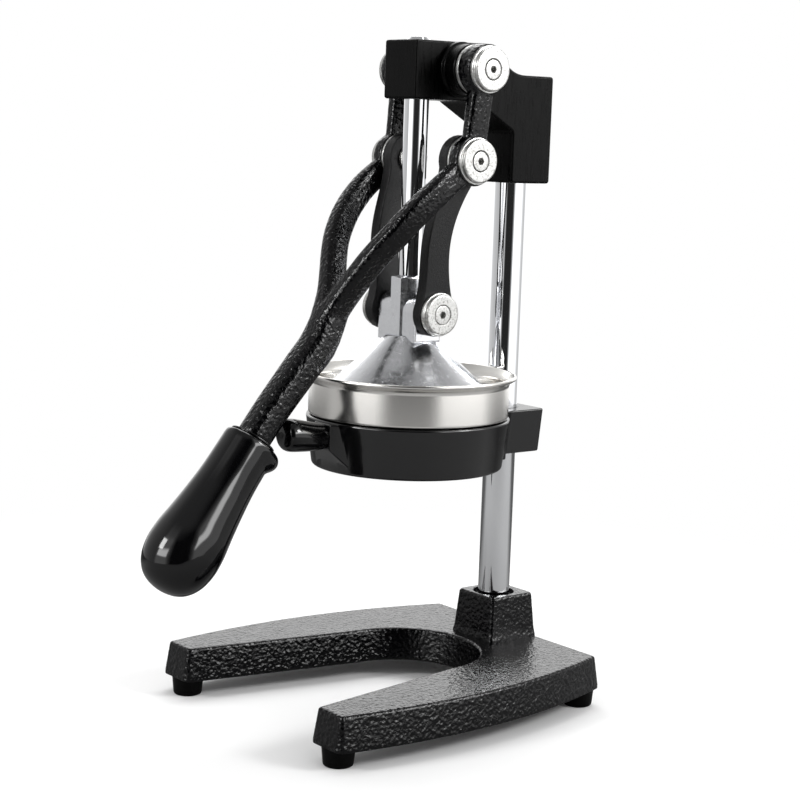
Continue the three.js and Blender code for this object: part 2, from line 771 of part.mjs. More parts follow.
// Strainer: a perforated cone whose flange sits in the rounded corner of the cup's floor
function makeStrainer() {
  const t = strainerThickness;
  const top = strainerBottom + strainerHeight;
  const shell = turnedSolid([
    [0, top - 2 * t],
    [strainerTopRadius - t, top - 2 * t],
    [strainerBaseRadius - t, strainerBottom],
    [strainerFlangeRadius, strainerBottom],
    [strainerFlangeRadius, strainerBottom + t],
    [strainerBaseRadius, strainerBottom + t],
    [strainerTopRadius, top - t],
    [0, top],
  ], mediumSides);
  const holes = [];
  const span = strainerBaseRadius - strainerTopRadius;
  for (let row = 1; row <= strainerRowCount; row += 1) {
    const radius = strainerTopRadius + span * row / (strainerRowCount + 1);
    for (let step = 0; step < strainerHoleCount; step += 1) {
      const angle = 2 * Math.PI * (step + row / 2) / strainerHoleCount;
      const hole = rod(strainerHoleRadius, strainerBottom - overrun, top + overrun, hexSides);
      holes.push(hole.translate(radius * Math.cos(angle), radius * Math.sin(angle), 0));
    }
  }
  return build([shell], holes).translate(0, cupSetback, 0);
}
piece('strainer_cone', makeStrainer(), stainless);

// Cup holder: a cast ring with a ledge, the clamp block on the column and the boss of the stub handle
function makeHolder() {
  const lowRadius = holderRadius - holderTaper;
  const inner = holderRadius - holderWall;
  const ledge = inner - holderLedge;
  const ring = turned([
    [ledge, holderBottom],
    [lowRadius - holderEdge, holderBottom],
    [lowRadius, holderBottom + holderEdge],
    [holderRadius, holderTop],
    [inner, holderTop],
    [inner, holderBottom + 2 * holderFloor],
    [ledge, holderBottom + holderFloor],
  ], bigSides).translate(0, cupSetback, 0);
  const neckFront = cupSetback + inner + holderWall / 2;
  const blockTop = holderTop + gap;
  const topFace = rectangle(holderBlockHalfWidth, neckFront, holderBlockBack);
  const lowHalf = holderBlockHalfWidth - holderBlockDraft;
  const lowFace = rectangle(lowHalf, neckFront, holderBlockBack - holderBlockDraft / 2);
  const block = stacked([[blockTop - holderBlockDrop, lowFace], [blockTop, topFace]]);
  const flareBack = cupSetback - Math.sqrt(inner ** 2 - stubFlareHalfWidth ** 2) - gap;
  const flareBottom = holderBottom + stubFlareRise;
  const flareTop = holderTop - stubFlareDrop;
  const flareMiddle = (flareBottom + flareTop) / 2;
  const boss = skin([
    endRing(bluntSquare(), flareBack, flareMiddle, stubFlareHalfWidth, flareTop - flareMiddle),
    endRing(bluntSquare(), knobStart + gap, stubHeight, stubNeckHalfWidth, stubNeckHalfWidth),
  ], bluntSquare());
  const cupSpace = rod(inner, holderBottom + 2 * holderFloor, holderTop + overrun, bigSides);
  cupSpace.translate(0, cupSetback, 0);
  const columnBore = rod(columnRadius + gap, holderBottom - overrun, holderTop + overrun);
  columnBore.translate(0, columnSetback, 0);
  const screwHole = setScrewHole(holderSetScrewHeight, holderBlockBack);
  const studHole = rod(stubStudRadius + gap, 0, 1, smallSides / 2);
  const stud = lengthwise(studHole, holderFront + holderWall + overrun, knobStart - overrun);
  return build([ring, block, boss], [columnBore, screwHole, stud, cupSpace]);
}

function unitCircle() {
  return new THREE.EllipseCurve(0, 0, 1, 1, 0, 2 * Math.PI, false).getPoints(smallSides).slice(0, smallSides);
}

// A square from -1 to 1 with a small flat on each corner
function bluntSquare() {
  const flat = stubCornerShare;
  const corners = [
    [1, flat], [flat, 1], [-flat, 1], [-1, flat],
    [-1, -flat], [-flat, -1], [flat, -1], [1, -flat],
  ];
  return corners.map(([x, y]) => new THREE.Vector2(x, y));
}

// An outline stood upright across Y, as wide and high as asked
function endRing(outline, y, z, halfWidth, halfHeight) {
  return outline.map((point) => new THREE.Vector3(point.x * halfWidth, y, z + point.y * halfHeight));
}

// Stretches a rod of unit length so that it runs along Y between two places, at the stub's height
function lengthwise(geometry, start, end) {
  return geometry.scale(1, 1, start - end).rotateX(Math.PI / 2).translate(0, start, stubHeight);
}

piece('cup_holder', makeHolder(), glossBlack);
piece('holder_set_screw', setScrew(holderSetScrewHeight, holderBlockBack), zinc);

// Stub handle: a moulded knob on a stud
const stud = rod(stubStudRadius, 0, 1, smallSides / 2);
piece('handle_stud', lengthwise(stud, holderFront + holderWall - gap, studEnd + gap), zinc);

// The knob swells and rises a little towards its blunt end
const knobShares = [
  [0, 0, 0],
  [0.5, 0.75, 0.7],
  [0.78, 1, 1],
  [0.93, 0.75, 1],
  [1, -1.2, 0.9],
];

function makeKnob() {
  const rings = knobShares.map(([along, swell, rise]) => {
    const radius = stubKnobNeckRadius + (stubKnobRadius - stubKnobNeckRadius) * swell;
    const height = stubHeight + stubKnobRise * rise;
    return endRing(unitCircle(), knobStart - along * stubKnobLength, height, radius, radius);
  });
  const knob = skin(rings, unitCircle());
  const hole = lengthwise(rod(stubStudRadius + gap, 0, 1, smallSides / 2), knobStart + overrun, studEnd);
  return build([knob], [hole]);
}
piece('holder_handle', makeKnob(), blackPlastic);

// Lever: two eyes, two elbow eyes, a wishbone fork and the shaft, all one casting
const gripLean = THREE.MathUtils.degToRad(gripLeanDegrees);
const gripAxis = new THREE.Vector3(0, -Math.cos(gripLean), -Math.sin(gripLean));
const gripNormal = new THREE.Vector3(0, Math.sin(gripLean), -Math.cos(gripLean));
const armCentre = (elbowEyeInside + elbowEyeOutside) / 2;

// Fork centre line: spread as a share of the eye spread, forward and down as shares of the lever's reach,
// and the arm's thickness as a share of the fork's; the shaft's line is forward and down only
const forkShares = [
  [1, 0, 0, elbowEyeWidth / forkThickness],
  [1, 0.135, 0.101, elbowEyeWidth / forkThickness],
  [0.995, 0.257, 0.192, 0.82],
  [0.935, 0.367, 0.289, 0.94],
  [0.865, 0.451, 0.378, 1],
  [0.77, 0.526, 0.474, 1],
  [0.65, 0.588, 0.561, 1],
  [0.5, 0.644, 0.659, 1],
  [0.35, 0.694, 0.765, 1],
  [0.16, 0.765, 0.911, 1],
  [0.03, 0.86, 1.09, 1],
];
const shaftShares = [
  [0.745, 0.88],
  [0.8, 0.99],
  [0.895, 1.195],
  [1.01, 1.325],
  [1.13, 1.463],
  [1.38, 1.77],
];

// The grip starts a little in front of the stub handle's knob and above it, and that sets the lever's reach
const [lastForward, lastDown] = shaftShares[shaftShares.length - 1];
const forwardReach = (elbow.y - knobEnd + gripStandOff) / lastForward;
const downReach = (elbow.z - stubHeight - gripRise) / lastDown;

function forkPoints(side) {
  return forkShares.map(([spread, forward, down]) => new THREE.Vector3(
    side * armCentre * spread,
    elbow.y - forwardReach * forward,
    elbow.z - downReach * down,
  ));
}

// A ring square to the travel of a path in three dimensions: a rounded rectangle
function sectionRing(centre, travel, width, thickness) {
  const across = new THREE.Vector3(1, 0, 0).addScaledVector(travel, -travel.x).normalize();
  const up = new THREE.Vector3().crossVectors(travel, across);
  const corner = sectionCornerShare;
  const corners = [
    [1, corner], [corner, 1], [-corner, 1], [-1, corner],
    [-1, -corner], [-corner, -1], [corner, -1], [1, -corner],
  ];
  return corners.map(([a, b]) => centre.clone()
    .addScaledVector(across, a * thickness / 2)
    .addScaledVector(up, b * width / 2));
}

function sweep(points, widths, thicknesses, lastTravel = null) {
  const rings = points.map((point, index) => {
    const before = points[Math.max(index - 1, 0)];
    const after = points[Math.min(index + 1, points.length - 1)];
    const between = after.clone().sub(before).normalize();
    const travel = lastTravel && index === points.length - 1 ? lastTravel : between;
    return sectionRing(point, travel, widths[index], thicknesses[index]);
  });
  const flat = sectionRing(new THREE.Vector3(), new THREE.Vector3(0, 0, 1), 1, 1);
  return skin(rings, flat.map((point) => new THREE.Vector2(point.x, point.y)));
}

const shaftPoints = shaftShares.map(([forward, down]) => new THREE.Vector3(
  0,
  elbow.y - forwardReach * forward,
  elbow.z - downReach * down,
));
const gripStart = shaftPoints[shaftPoints.length - 1];

function makeLever() {
  const added = [];
  const removed = [];
  sides.forEach((side) => {
    const inOut = (inside, outside) => [side * inside, side * outside].sort((a, b) => a - b);
    const drill = (radius, inside, outside, centre) => (
      crossRod(radius + gap, ...inOut(inside - overrun, outside + overrun), centre, smallSides)
    );
    added.push(crossRod(eyeRadius, ...inOut(upperEyeInside, upperEyeOutside), pivot));
    added.push(crossRod(eyeRadius, ...inOut(elbowEyeInside, elbowEyeOutside), elbow));
    const armStations = [[0, armThickness], [armShoulderShare, elbowEyeWidth], [1, elbowEyeWidth]];
    const armPoints = armStations.map(([share, thickness]) => new THREE.Vector3(
      side * (elbowEyeInside + thickness / 2),
      THREE.MathUtils.lerp(pivot.y, elbow.y, share),
      THREE.MathUtils.lerp(pivot.z, elbow.z, share),
    ));
    const armWidths = armStations.map(() => armWidth);
    added.push(sweep(armPoints, armWidths, armStations.map(([, thickness]) => thickness)));
    const points = forkPoints(side);
    const widths = points.map(() => forkWidth);
    const thicknesses = forkShares.map(([, , , share]) => forkThickness * share);
    added.push(sweep(points, widths, thicknesses));
    removed.push(drill(pivotRadius, upperEyeInside, upperEyeOutside, pivot));
    removed.push(drill(pinRadius, elbowEyeInside, elbowEyeOutside, elbow));
  });
  const last = shaftPoints.length - 1;
  const taper = (index) => 2 * THREE.MathUtils.lerp(shaftTopRadius, shaftEndRadius, index / last);
  const diameters = shaftPoints.map((point, index) => (index === 0 ? forkThickness : taper(index)));
  added.push(sweep(shaftPoints, diameters, diameters, gripAxis));
  const tangEnd = gripStart.clone().addScaledVector(gripAxis, gripLength * tangShare);
  const tangStart = gripStart.clone().addScaledVector(gripAxis, -overrun);
  const tangWidths = [2 * tangRadius, 2 * tangRadius];
  added.push(sweep([tangStart, tangEnd], tangWidths, tangWidths));
  return build(added, removed);
}
piece('lever_casting', makeLever(), hammeredBlack);

// Grip: a moulded bulb handle with a finger lip, pushed on the tang
const gripProfileShares = [
  [0, 0.93], [0.03, 1], [0.07, 1.015], [0.12, 1.02], [0.25, 1.05],
  [0.39, 1.13], [0.52, 1.22], [0.64, 1.38], [0.76, 1.422], [0.86, 1.27],
  [0.925, 0.98], [0.97, 0.62], [0.995, 0.25],
];

function alongGrip(geometry) {
  const across = new THREE.Vector3(1, 0, 0);
  const turn = new THREE.Matrix4().makeBasis(across, gripNormal.clone().negate(), gripAxis);
  return geometry.applyMatrix4(turn).translate(gripStart.x, gripStart.y, gripStart.z);
}

function makeGrip() {
  const bulbShare = gripBulbRadius / gripTopRadius;
  const widestShare = Math.max(...gripProfileShares.map(([, share]) => share));
  const rings = gripProfileShares.map(([share, radiusShare]) => {
    const bulge = THREE.MathUtils.smoothstep(share, 0, 1) * (bulbShare - widestShare);
    const radius = gripTopRadius * (radiusShare + bulge);
    const lip = gripLip * Math.max(0, 1 - Math.abs(share - gripLipPlaceShare) / gripLipReachShare);
    const along = collarWidth + share * gripLength;
    return unitCircle().map((point) => {
      const under = Math.max(0, -point.y) ** 3;
      return new THREE.Vector3(point.x * radius, point.y * (radius + lip * under), along);
    });
  });
  const body = skin(rings, unitCircle());
  const tang = tangRadius + gap;
  const bore = box([-tang, -tang, 0], [tang, tang, gripLength * tangShare + gap]);
  return alongGrip(build([body], [bore]));
}
piece('lever_grip', makeGrip(), blackPlastic);

const collarHole = tangRadius * Math.SQRT2 + gap;
const collar = turned([
  [collarHole, gap],
  [collarRadius, gap],
  [collarRadius, collarWidth - gap],
  [collarHole, collarWidth - gap],
], mediumSides);
piece('grip_collar', alongGrip(collar), blackPlastic);

// Origin: on the floor, under the middle of the whole press
const whole = new THREE.Box3().setFromObject(press);
const middle = whole.getCenter(new THREE.Vector3());
press.position.set(-middle.x, -middle.y, -whole.min.z);

export default press;
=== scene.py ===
# %% [markdown]
# # A lever press for citrus fruit
# The press is cast iron in black enamel with polished metal parts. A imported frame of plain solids
# says where every piece is and how it moves. This lesson dresses it: each piece that shows is
# modelled again with rounder edges and gets a material made for its finish.

# %% Load the frame
import math

import bmesh
import bpy
from mathutils import Matrix, Vector


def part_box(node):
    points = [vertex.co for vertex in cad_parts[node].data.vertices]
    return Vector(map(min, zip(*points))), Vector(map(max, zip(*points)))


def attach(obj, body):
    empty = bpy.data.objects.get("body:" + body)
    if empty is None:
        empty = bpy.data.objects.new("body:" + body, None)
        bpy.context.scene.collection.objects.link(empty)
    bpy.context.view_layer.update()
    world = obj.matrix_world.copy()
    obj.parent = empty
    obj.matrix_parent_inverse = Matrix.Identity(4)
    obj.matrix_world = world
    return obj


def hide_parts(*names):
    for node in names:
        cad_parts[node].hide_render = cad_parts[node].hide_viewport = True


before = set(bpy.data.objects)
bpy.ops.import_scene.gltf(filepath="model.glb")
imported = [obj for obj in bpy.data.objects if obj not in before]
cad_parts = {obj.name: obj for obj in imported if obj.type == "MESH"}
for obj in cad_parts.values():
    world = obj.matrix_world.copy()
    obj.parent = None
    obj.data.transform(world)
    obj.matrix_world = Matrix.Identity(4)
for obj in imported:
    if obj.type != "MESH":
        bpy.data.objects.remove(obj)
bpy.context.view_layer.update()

MM = 0.001

# %% [markdown]
# ## Where things are
# The plunger rod is the natural zero of the press, so places are given in millimetres from its axis.
# The pivots are read from the frame, so that every piece sits on what carries it.

# %% Places
rod_low, rod_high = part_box("plunger_rod")
ROD_SETBACK = (rod_low.y + rod_high.y) / 2 / MM


def at(x, y, z):
    """A point in millimetres from the rod's axis, as a vector in metres."""
    return Vector((x, y + ROD_SETBACK, z)) * MM


def middle(node):
    """The middle of a frame node's box, in millimetres from the rod's axis: depth and height."""
    low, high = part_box(node)
    centre = (low + high) / 2 / MM
    return centre.y - ROD_SETBACK, centre.z


def inner_face(node):
    """How far the inner face of a right-hand node stands from the middle plane, in millimetres."""
    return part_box(node)[0].x / MM


def outer_face(node):
    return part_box(node)[1].x / MM


def corners(node):
    """The lowest and highest corners of a frame node's box, in millimetres in the frame."""
    return [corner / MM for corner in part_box(node)]


PIVOT = middle("pivot_cap_right")
ELBOW = middle("elbow_cap_right")
CROSSHEAD = middle("lower_cap_right")
print("pivot", PIVOT, "elbow", ELBOW, "crosshead", CROSSHEAD)

# %% [markdown]
# ## Camera
# The camera looks a little down on the press from its front right corner, through a long lens
# that keeps upright lines nearly parallel. Its angles are in degrees, its place in millimetres.

# %% Camera
CAMERA_PLACE = (842.3, -676.2, 336.0)
CAMERA_AZIMUTH = 51.44
CAMERA_PITCH = 8.19
CAMERA_ROLL = 1.95
LENS = 83.95

camera_data = bpy.data.cameras.new("camera")
camera_data.lens = LENS
camera_data.sensor_width = 36
camera_data.clip_end = 20
camera = bpy.data.objects.new("camera", camera_data)
bpy.context.scene.collection.objects.link(camera)
turn = Matrix.Rotation(math.radians(CAMERA_AZIMUTH), 4, "Z")
tilt = Matrix.Rotation(math.radians(90 - CAMERA_PITCH), 4, "X")
roll = Matrix.Rotation(math.radians(CAMERA_ROLL), 4, "Z")
camera.matrix_world = Matrix.Translation(at(*CAMERA_PLACE)) @ turn @ tilt @ roll
bpy.context.scene.camera = camera
bpy.context.scene.view_settings.view_transform = "Standard"
print("camera at", [round(value, 3) for value in camera.location])

# %% [markdown]
# ## Modelling helpers
# Every piece starts as a primitive and is shaped in edit mode. These helpers open a piece, pick its
# faces by their place, and turn or bend the usual forms.


# %% Opening a piece
def make_active(piece):
    bpy.ops.object.select_all(action="DESELECT")
    piece.select_set(True)
    bpy.context.view_layer.objects.active = piece


def open_piece(piece, select="DESELECT"):
    make_active(piece)
    bpy.ops.object.mode_set(mode="EDIT")
    bpy.ops.mesh.select_mode(type="FACE")
    bpy.ops.mesh.select_all(action=select)


def close_piece():
    bpy.ops.object.mode_set(mode="OBJECT")


def pick_faces(piece, test):
    """In edit mode: selects the faces whose middle and normal pass the test."""
    bpy.ops.mesh.select_mode(type="FACE")
    shape = bmesh.from_edit_mesh(piece.data)
    for face in shape.faces:
        face.select_set(bool(test(face.calc_center_median(), face.normal)))
    shape.select_flush_mode()
    bmesh.update_edit_mesh(piece.data)


print("pieces open in", bpy.context.mode, "mode")


# %% Naming, placing and changing a piece
def added(name):
    """Names the primitive that was just added."""
    piece = bpy.context.object
    piece.name = name
    piece.data.name = name
    return piece


def settle(piece, location=(0, 0, 0), rotation=(0, 0, 0)):
    """Moves a piece to its place and writes that place into its mesh."""
    make_active(piece)
    piece.rotation_euler = rotation
    piece.location = location
    bpy.ops.object.transform_apply(location=True, rotation=True, scale=True)
    return piece


def apply_modifier(piece, kind, **settings):
    make_active(piece)
    bpy.ops.object.modifier_add(type=kind)
    modifier = piece.modifiers[-1]
    for setting, value in settings.items():
        setattr(modifier, setting, value)
    bpy.ops.object.modifier_apply(modifier=modifier.name)
    return piece


def face_outward(piece):
    open_piece(piece, "SELECT")
    bpy.ops.mesh.remove_doubles(threshold=0.001 * MM)
    bpy.ops.mesh.normals_make_consistent(inside=False)
    close_piece()
    return piece


print("a metre holds", round(1 / MM), "millimetres")


# %% Joining and cutting
def joined(name, pieces):
    """Joins several pieces into one object, without cutting them."""
    make_active(pieces[0])
    for piece in pieces:
        piece.select_set(True)
    bpy.ops.object.join()
    return added(name)


def combined(piece, others, operation):
    """Unites closed shapes with a piece, or cuts them out of it, and then removes them."""
    for other in others:
        apply_modifier(piece, "BOOLEAN", operation=operation, object=other, solver="EXACT")
        bpy.data.objects.remove(other)
    print(piece.name, operation.lower(), [round(side / MM, 1) for side in piece.dimensions])
    return piece


# %% Rounded outlines
def rounded(outline, radius, steps=4):
    """Rounds the inner corners of a row of points. A third entry gives a corner its own radius."""
    softened = [outline[0][:2]]
    for before, corner, after in zip(outline, outline[1:], outline[2:]):
        reach = radius if len(corner) < 3 else corner[2]
        here = Vector(corner[:2])
        if reach == 0:
            softened.append(tuple(here))
            continue
        back = Vector(before[:2]) - here
        ahead = Vector(after[:2]) - here
        start = here + back.normalized() * min(reach, back.length * 0.48)
        end = here + ahead.normalized() * min(reach, ahead.length * 0.48)
        for step in range(steps + 1):
            share = step / steps
            point = start.lerp(here, share).lerp(here.lerp(end, share), share)
            softened.append(tuple(point))
    softened.append(outline[-1][:2])
    return softened


def rounded_loop(outline, radius, steps=4):
    """The same for an outline that runs back to its first point, which stays sharp."""
    return rounded([*outline, outline[0][:2]], radius, steps)[:-1]


print("a corner of radius 2 in three points", rounded([(0, 0), (9, 0), (9, 9)], 2, 2)[1:-1])


# %% Turned pieces
def turned(name, outline, sides=96, closed=False):
    """Turns an outline of (radius, height) points, in millimetres, about the Z axis."""
    radius, height = outline[0]
    fill = "NOTHING" if closed else "NGON"
    bpy.ops.mesh.primitive_circle_add(vertices=sides, radius=radius * MM, fill_type=fill)
    piece = added(name)
    open_piece(piece, "SELECT")
    bpy.ops.mesh.select_mode(type="VERT")
    bpy.ops.transform.translate(value=(0, 0, height * MM))
    rings = outline[1:] + outline[:1] if closed else outline[1:]
    for next_radius, next_height in rings:
        bpy.ops.mesh.extrude_region_move(
            TRANSFORM_OT_translate={"value": (0, 0, (next_height - height) * MM)})
        share = next_radius / radius
        bpy.ops.transform.resize(value=(share, share, 1), center_override=(0, 0, next_height * MM))
        radius, height = next_radius, next_height
    close_piece()
    print(name, "turned from", len(outline), "points")
    return face_outward(piece)


# %% Plates
EDGE_STEPS = 3


def plate(name, outline, depth, edge, draft=0.0, foot_edge=None):
    """A plate with rounded edges: its outline of (x, y) points faces down, and it is depth high."""
    low_edge = edge if foot_edge is None else foot_edge
    bpy.ops.mesh.primitive_circle_add(vertices=len(outline), radius=1, fill_type="NGON")
    piece = added(name)
    for vertex, (x, y) in zip(piece.data.vertices, outline):
        vertex.co = Vector((x, y, low_edge)) * MM
    open_piece(piece, "SELECT")
    rounding = [math.radians(90 * step / EDGE_STEPS) for step in range(EDGE_STEPS + 1)]
    height = depth - edge - low_edge
    straight = 0.1 * height if draft else height
    bpy.ops.mesh.extrude_region_move(TRANSFORM_OT_translate={"value": (0, 0, straight * MM)})
    close_piece()
    face_outward(piece)
    if draft:
        open_piece(piece)
        pick_faces(piece, lambda middle, normal: normal.z > 0.9)
        bpy.ops.mesh.inset(thickness=draft * MM, depth=(height - straight) * MM)
        close_piece()
    for direction, reach in ((1, edge), (-1, low_edge)):
        open_piece(piece)
        pick_faces(piece, lambda middle, normal: normal.z * direction > 0.9)
        for low, high in zip(rounding, rounding[1:]):
            bpy.ops.mesh.inset(
                thickness=reach * (math.cos(low) - math.cos(high)) * MM,
                depth=reach * (math.sin(high) - math.sin(low)) * MM)
        close_piece()
    print(name, "plate from", len(outline), "points")
    return piece


# %% [markdown]
# ## Material helpers
# Colours are written as sRGB hex, as they are read off a picture, and turned to linear values.
# A pattern's size is given in millimetres, and one function adds a node with its settings. Every
# pattern reads Object coordinates, so that it stays on the piece when the piece moves.


# %% Colours, sizes and nodes
def linear(hex_colour):
    """sRGB hex, such as 0x101012, to linear red, green, blue and alpha."""
    channels = [(hex_colour >> shift & 255) / 255 for shift in (16, 8, 0)]
    return tuple(c / 12.92 if c <= 0.04045 else ((c + 0.055) / 1.055) ** 2.4 for c in channels) + (1,)


def per_metre(size):
    """A texture's scale, from the size in millimetres of one of its grains."""
    return 1 / (size * MM)


def add_node(material, kind, output, inputs, **settings):
    """Adds a node and returns one of its outputs. Each input is a number, or an output to link."""
    node = material.node_tree.nodes.new(kind)
    for setting, value in settings.items():
        setattr(node, setting, value)
    for socket, value in inputs.items():
        if isinstance(value, bpy.types.NodeSocket):
            material.node_tree.links.new(value, node.inputs[socket])
        else:
            node.inputs[socket].default_value = value
    return node.outputs[output]


def new_finish(name, colour, roughness, metallic=0.0, **sockets):
    """A material with one shader, and the place on the piece, which its patterns read.
    Constant values are set on the shader's own sockets."""
    material = bpy.data.materials.new(name)
    material.use_nodes = True
    shader = material.node_tree.nodes["Principled BSDF"]
    shader.inputs["Base Color"].default_value = linear(colour)
    shader.inputs["Roughness"].default_value = roughness
    shader.inputs["Metallic"].default_value = metallic
    for socket, value in sockets.items():
        shader.inputs[socket.replace("_", " ")].default_value = value
    return material, add_node(material, "ShaderNodeTexCoord", "Object", {})


def feed(material, socket, output):
    """Links a pattern to the material's shader."""
    shader = material.node_tree.nodes["Principled BSDF"]
    material.node_tree.links.new(output, shader.inputs[socket])


# %% [markdown]
# ## Hammered enamel
# The base and the lever are cast iron under a thick black enamel that dried in a hammered skin:
# shallow dimples two or three millimetres wide, all glossy. The dimples are soft cells in the bump,
# made uneven by a noise of about their own size, over a black that is the same everywhere.

# %% Hammered enamel
hammered_enamel, place = new_finish("hammered_black_enamel", 0x020203, 0.1, Specular_IOR_Level=0.3)
ripple = add_node(hammered_enamel, "ShaderNodeTexNoise", "Fac", {
    "Vector": place, "Scale": per_metre(2.6), "Detail": 2.5, "Roughness": 0.55, "Distortion": 0.9})
cells = add_node(hammered_enamel, "ShaderNodeTexVoronoi", "Distance", {
    "Vector": place, "Scale": per_metre(2.2), "Smoothness": 0.8}, feature="SMOOTH_F1")
skin = add_node(hammered_enamel, "ShaderNodeMath", "Value", {0: ripple, 1: cells}, operation="ADD")
feed(hammered_enamel, "Normal", add_node(hammered_enamel, "ShaderNodeBump", "Normal", {
    "Height": skin, "Distance": 0.4 * MM, "Strength": 1.0}))
print("hammered enamel ready")

# %% [markdown]
# ## Satin and gloss enamel
# The head and the links have a thinner coat that follows the grain of the sand mould, so it looks
# satin: faintly streaked on the head and coarser on the links. Real moulding sand is too fine to
# show in the render, so its grain is drawn at about a millimetre. The cup holder is rubbed down
# first and looks like black glass with slow waves.

# %% Satin, cast and gloss enamel
satin_enamel, place = new_finish("satin_black_enamel", 0x010101, 0.3, Specular_IOR_Level=0.09)
stretched = add_node(satin_enamel, "ShaderNodeMapping", "Vector", {"Vector": place, "Scale": (1, 1, 0.12)})
streaks = add_node(satin_enamel, "ShaderNodeTexNoise", "Fac", {
    "Vector": stretched, "Scale": per_metre(1.6), "Detail": 3.0, "Roughness": 0.6})
feed(satin_enamel, "Roughness", add_node(satin_enamel, "ShaderNodeMapRange", "Result", {
    "Value": streaks, "From Min": 0.3, "From Max": 0.7, "To Min": 0.22, "To Max": 0.42}))
sand = add_node(satin_enamel, "ShaderNodeTexNoise", "Fac", {
    "Vector": place, "Scale": per_metre(0.9), "Detail": 3.0, "Roughness": 0.6})
feed(satin_enamel, "Normal", add_node(satin_enamel, "ShaderNodeBump", "Normal", {
    "Height": sand, "Distance": 0.08 * MM, "Strength": 1.0}))

cast_enamel, place = new_finish("sand_cast_black_enamel", 0x060607, 0.45, Specular_IOR_Level=0.26)
grains = add_node(cast_enamel, "ShaderNodeTexNoise", "Fac", {
    "Vector": place, "Scale": per_metre(1.1), "Detail": 4.0, "Roughness": 0.65})
feed(cast_enamel, "Roughness", add_node(cast_enamel, "ShaderNodeMapRange", "Result", {
    "Value": grains, "From Min": 0.3, "From Max": 0.7, "To Min": 0.42, "To Max": 0.6}))
feed(cast_enamel, "Normal", add_node(cast_enamel, "ShaderNodeBump", "Normal", {
    "Height": grains, "Distance": 0.25 * MM, "Strength": 1.0}))

gloss_enamel, place = new_finish("gloss_black_enamel", 0x060607, 0.1, Specular_IOR_Level=0.65)
waves = add_node(gloss_enamel, "ShaderNodeTexNoise", "Fac", {
    "Vector": place, "Scale": per_metre(11), "Detail": 1.0, "Roughness": 0.4})
feed(gloss_enamel, "Normal", add_node(gloss_enamel, "ShaderNodeBump", "Normal", {
    "Height": waves, "Distance": 0.25 * MM, "Strength": 0.6}))
print("enamels ready")

# %% [markdown]
# ## Chrome, stainless steel, aluminium and zinc
# Bright metals show little of their own: what matters is how sharp the picture in them is.
# The column and the rod are ground and chrome-plated, almost a mirror. The cup is spun, so its
# satin skin scatters light a little and unevenly. That grain is too fine to show in the render, so
# it is drawn 0.6 mm wide. The press cone is cast and polished by hand, so it is bright with slow
# dents. Zinc plate is greyer and clouded.

# %% Metals
chrome, place = new_finish("chrome_plate", 0xF0F1F3, 0.04, 1.0)
haze = add_node(chrome, "ShaderNodeTexNoise", "Fac", {
    "Vector": place, "Scale": per_metre(6), "Detail": 4.0, "Roughness": 0.6})
feed(chrome, "Roughness", add_node(chrome, "ShaderNodeMapRange", "Result", {
    "Value": haze, "From Min": 0.35, "From Max": 0.75, "To Min": 0.03, "To Max": 0.07}))

spun_steel, place = new_finish("spun_satin_stainless_steel", 0xF0EEEA, 0.28, 1.0)
speckle = add_node(spun_steel, "ShaderNodeTexNoise", "Fac", {
    "Vector": place, "Scale": per_metre(0.6), "Detail": 2.0, "Roughness": 0.6})
feed(spun_steel, "Roughness", add_node(spun_steel, "ShaderNodeMapRange", "Result", {
    "Value": speckle, "From Min": 0.3, "From Max": 0.7, "To Min": 0.17, "To Max": 0.24}))

polished_aluminium, place = new_finish("polished_cast_aluminium", 0xE6E7EA, 0.2, 1.0)
dents = add_node(polished_aluminium, "ShaderNodeTexNoise", "Fac", {
    "Vector": place, "Scale": per_metre(14), "Detail": 2.0, "Roughness": 0.5})
feed(polished_aluminium, "Normal", add_node(polished_aluminium, "ShaderNodeBump", "Normal", {
    "Height": dents, "Distance": 0.5 * MM, "Strength": 0.6}))
buffing = add_node(polished_aluminium, "ShaderNodeTexNoise", "Fac", {
    "Vector": place, "Scale": per_metre(3), "Detail": 5.0, "Roughness": 0.7})
feed(polished_aluminium, "Roughness", add_node(polished_aluminium, "ShaderNodeMapRange", "Result", {
    "Value": buffing, "From Min": 0.35, "From Max": 0.7, "To Min": 0.14, "To Max": 0.3}))

zinc_plate, place = new_finish("zinc_plated_steel", 0xE4E4E2, 0.3, 1.0)
clouds = add_node(zinc_plate, "ShaderNodeTexNoise", "Fac", {
    "Vector": place, "Scale": per_metre(1.4), "Detail": 5.0, "Roughness": 0.75})
spots = add_node(zinc_plate, "ShaderNodeMapRange", "Result", {
    "Value": clouds, "From Min": 0.36, "From Max": 0.5, "To Min": 0.0, "To Max": 1.0})
feed(zinc_plate, "Base Color", add_node(zinc_plate, "ShaderNodeMix", 2, {
    0: spots, 6: linear(0x7A7976), 7: linear(0xC6C6C4)}, data_type="RGBA"))
feed(zinc_plate, "Roughness", add_node(zinc_plate, "ShaderNodeMapRange", "Result", {
    "Value": clouds, "From Min": 0.3, "From Max": 0.7, "To Min": 0.45, "To Max": 0.28}))
print("metals ready")

# %% [markdown]
# ## Plastic and rubber
# The grip and the small knob are phenolic plastic, moulded hard and polished: deep black with
# soft, slightly wavy highlights. The feet are moulded rubber, dull, with a faint bloom, whose
# specks are drawn coarser than they are so that they show.

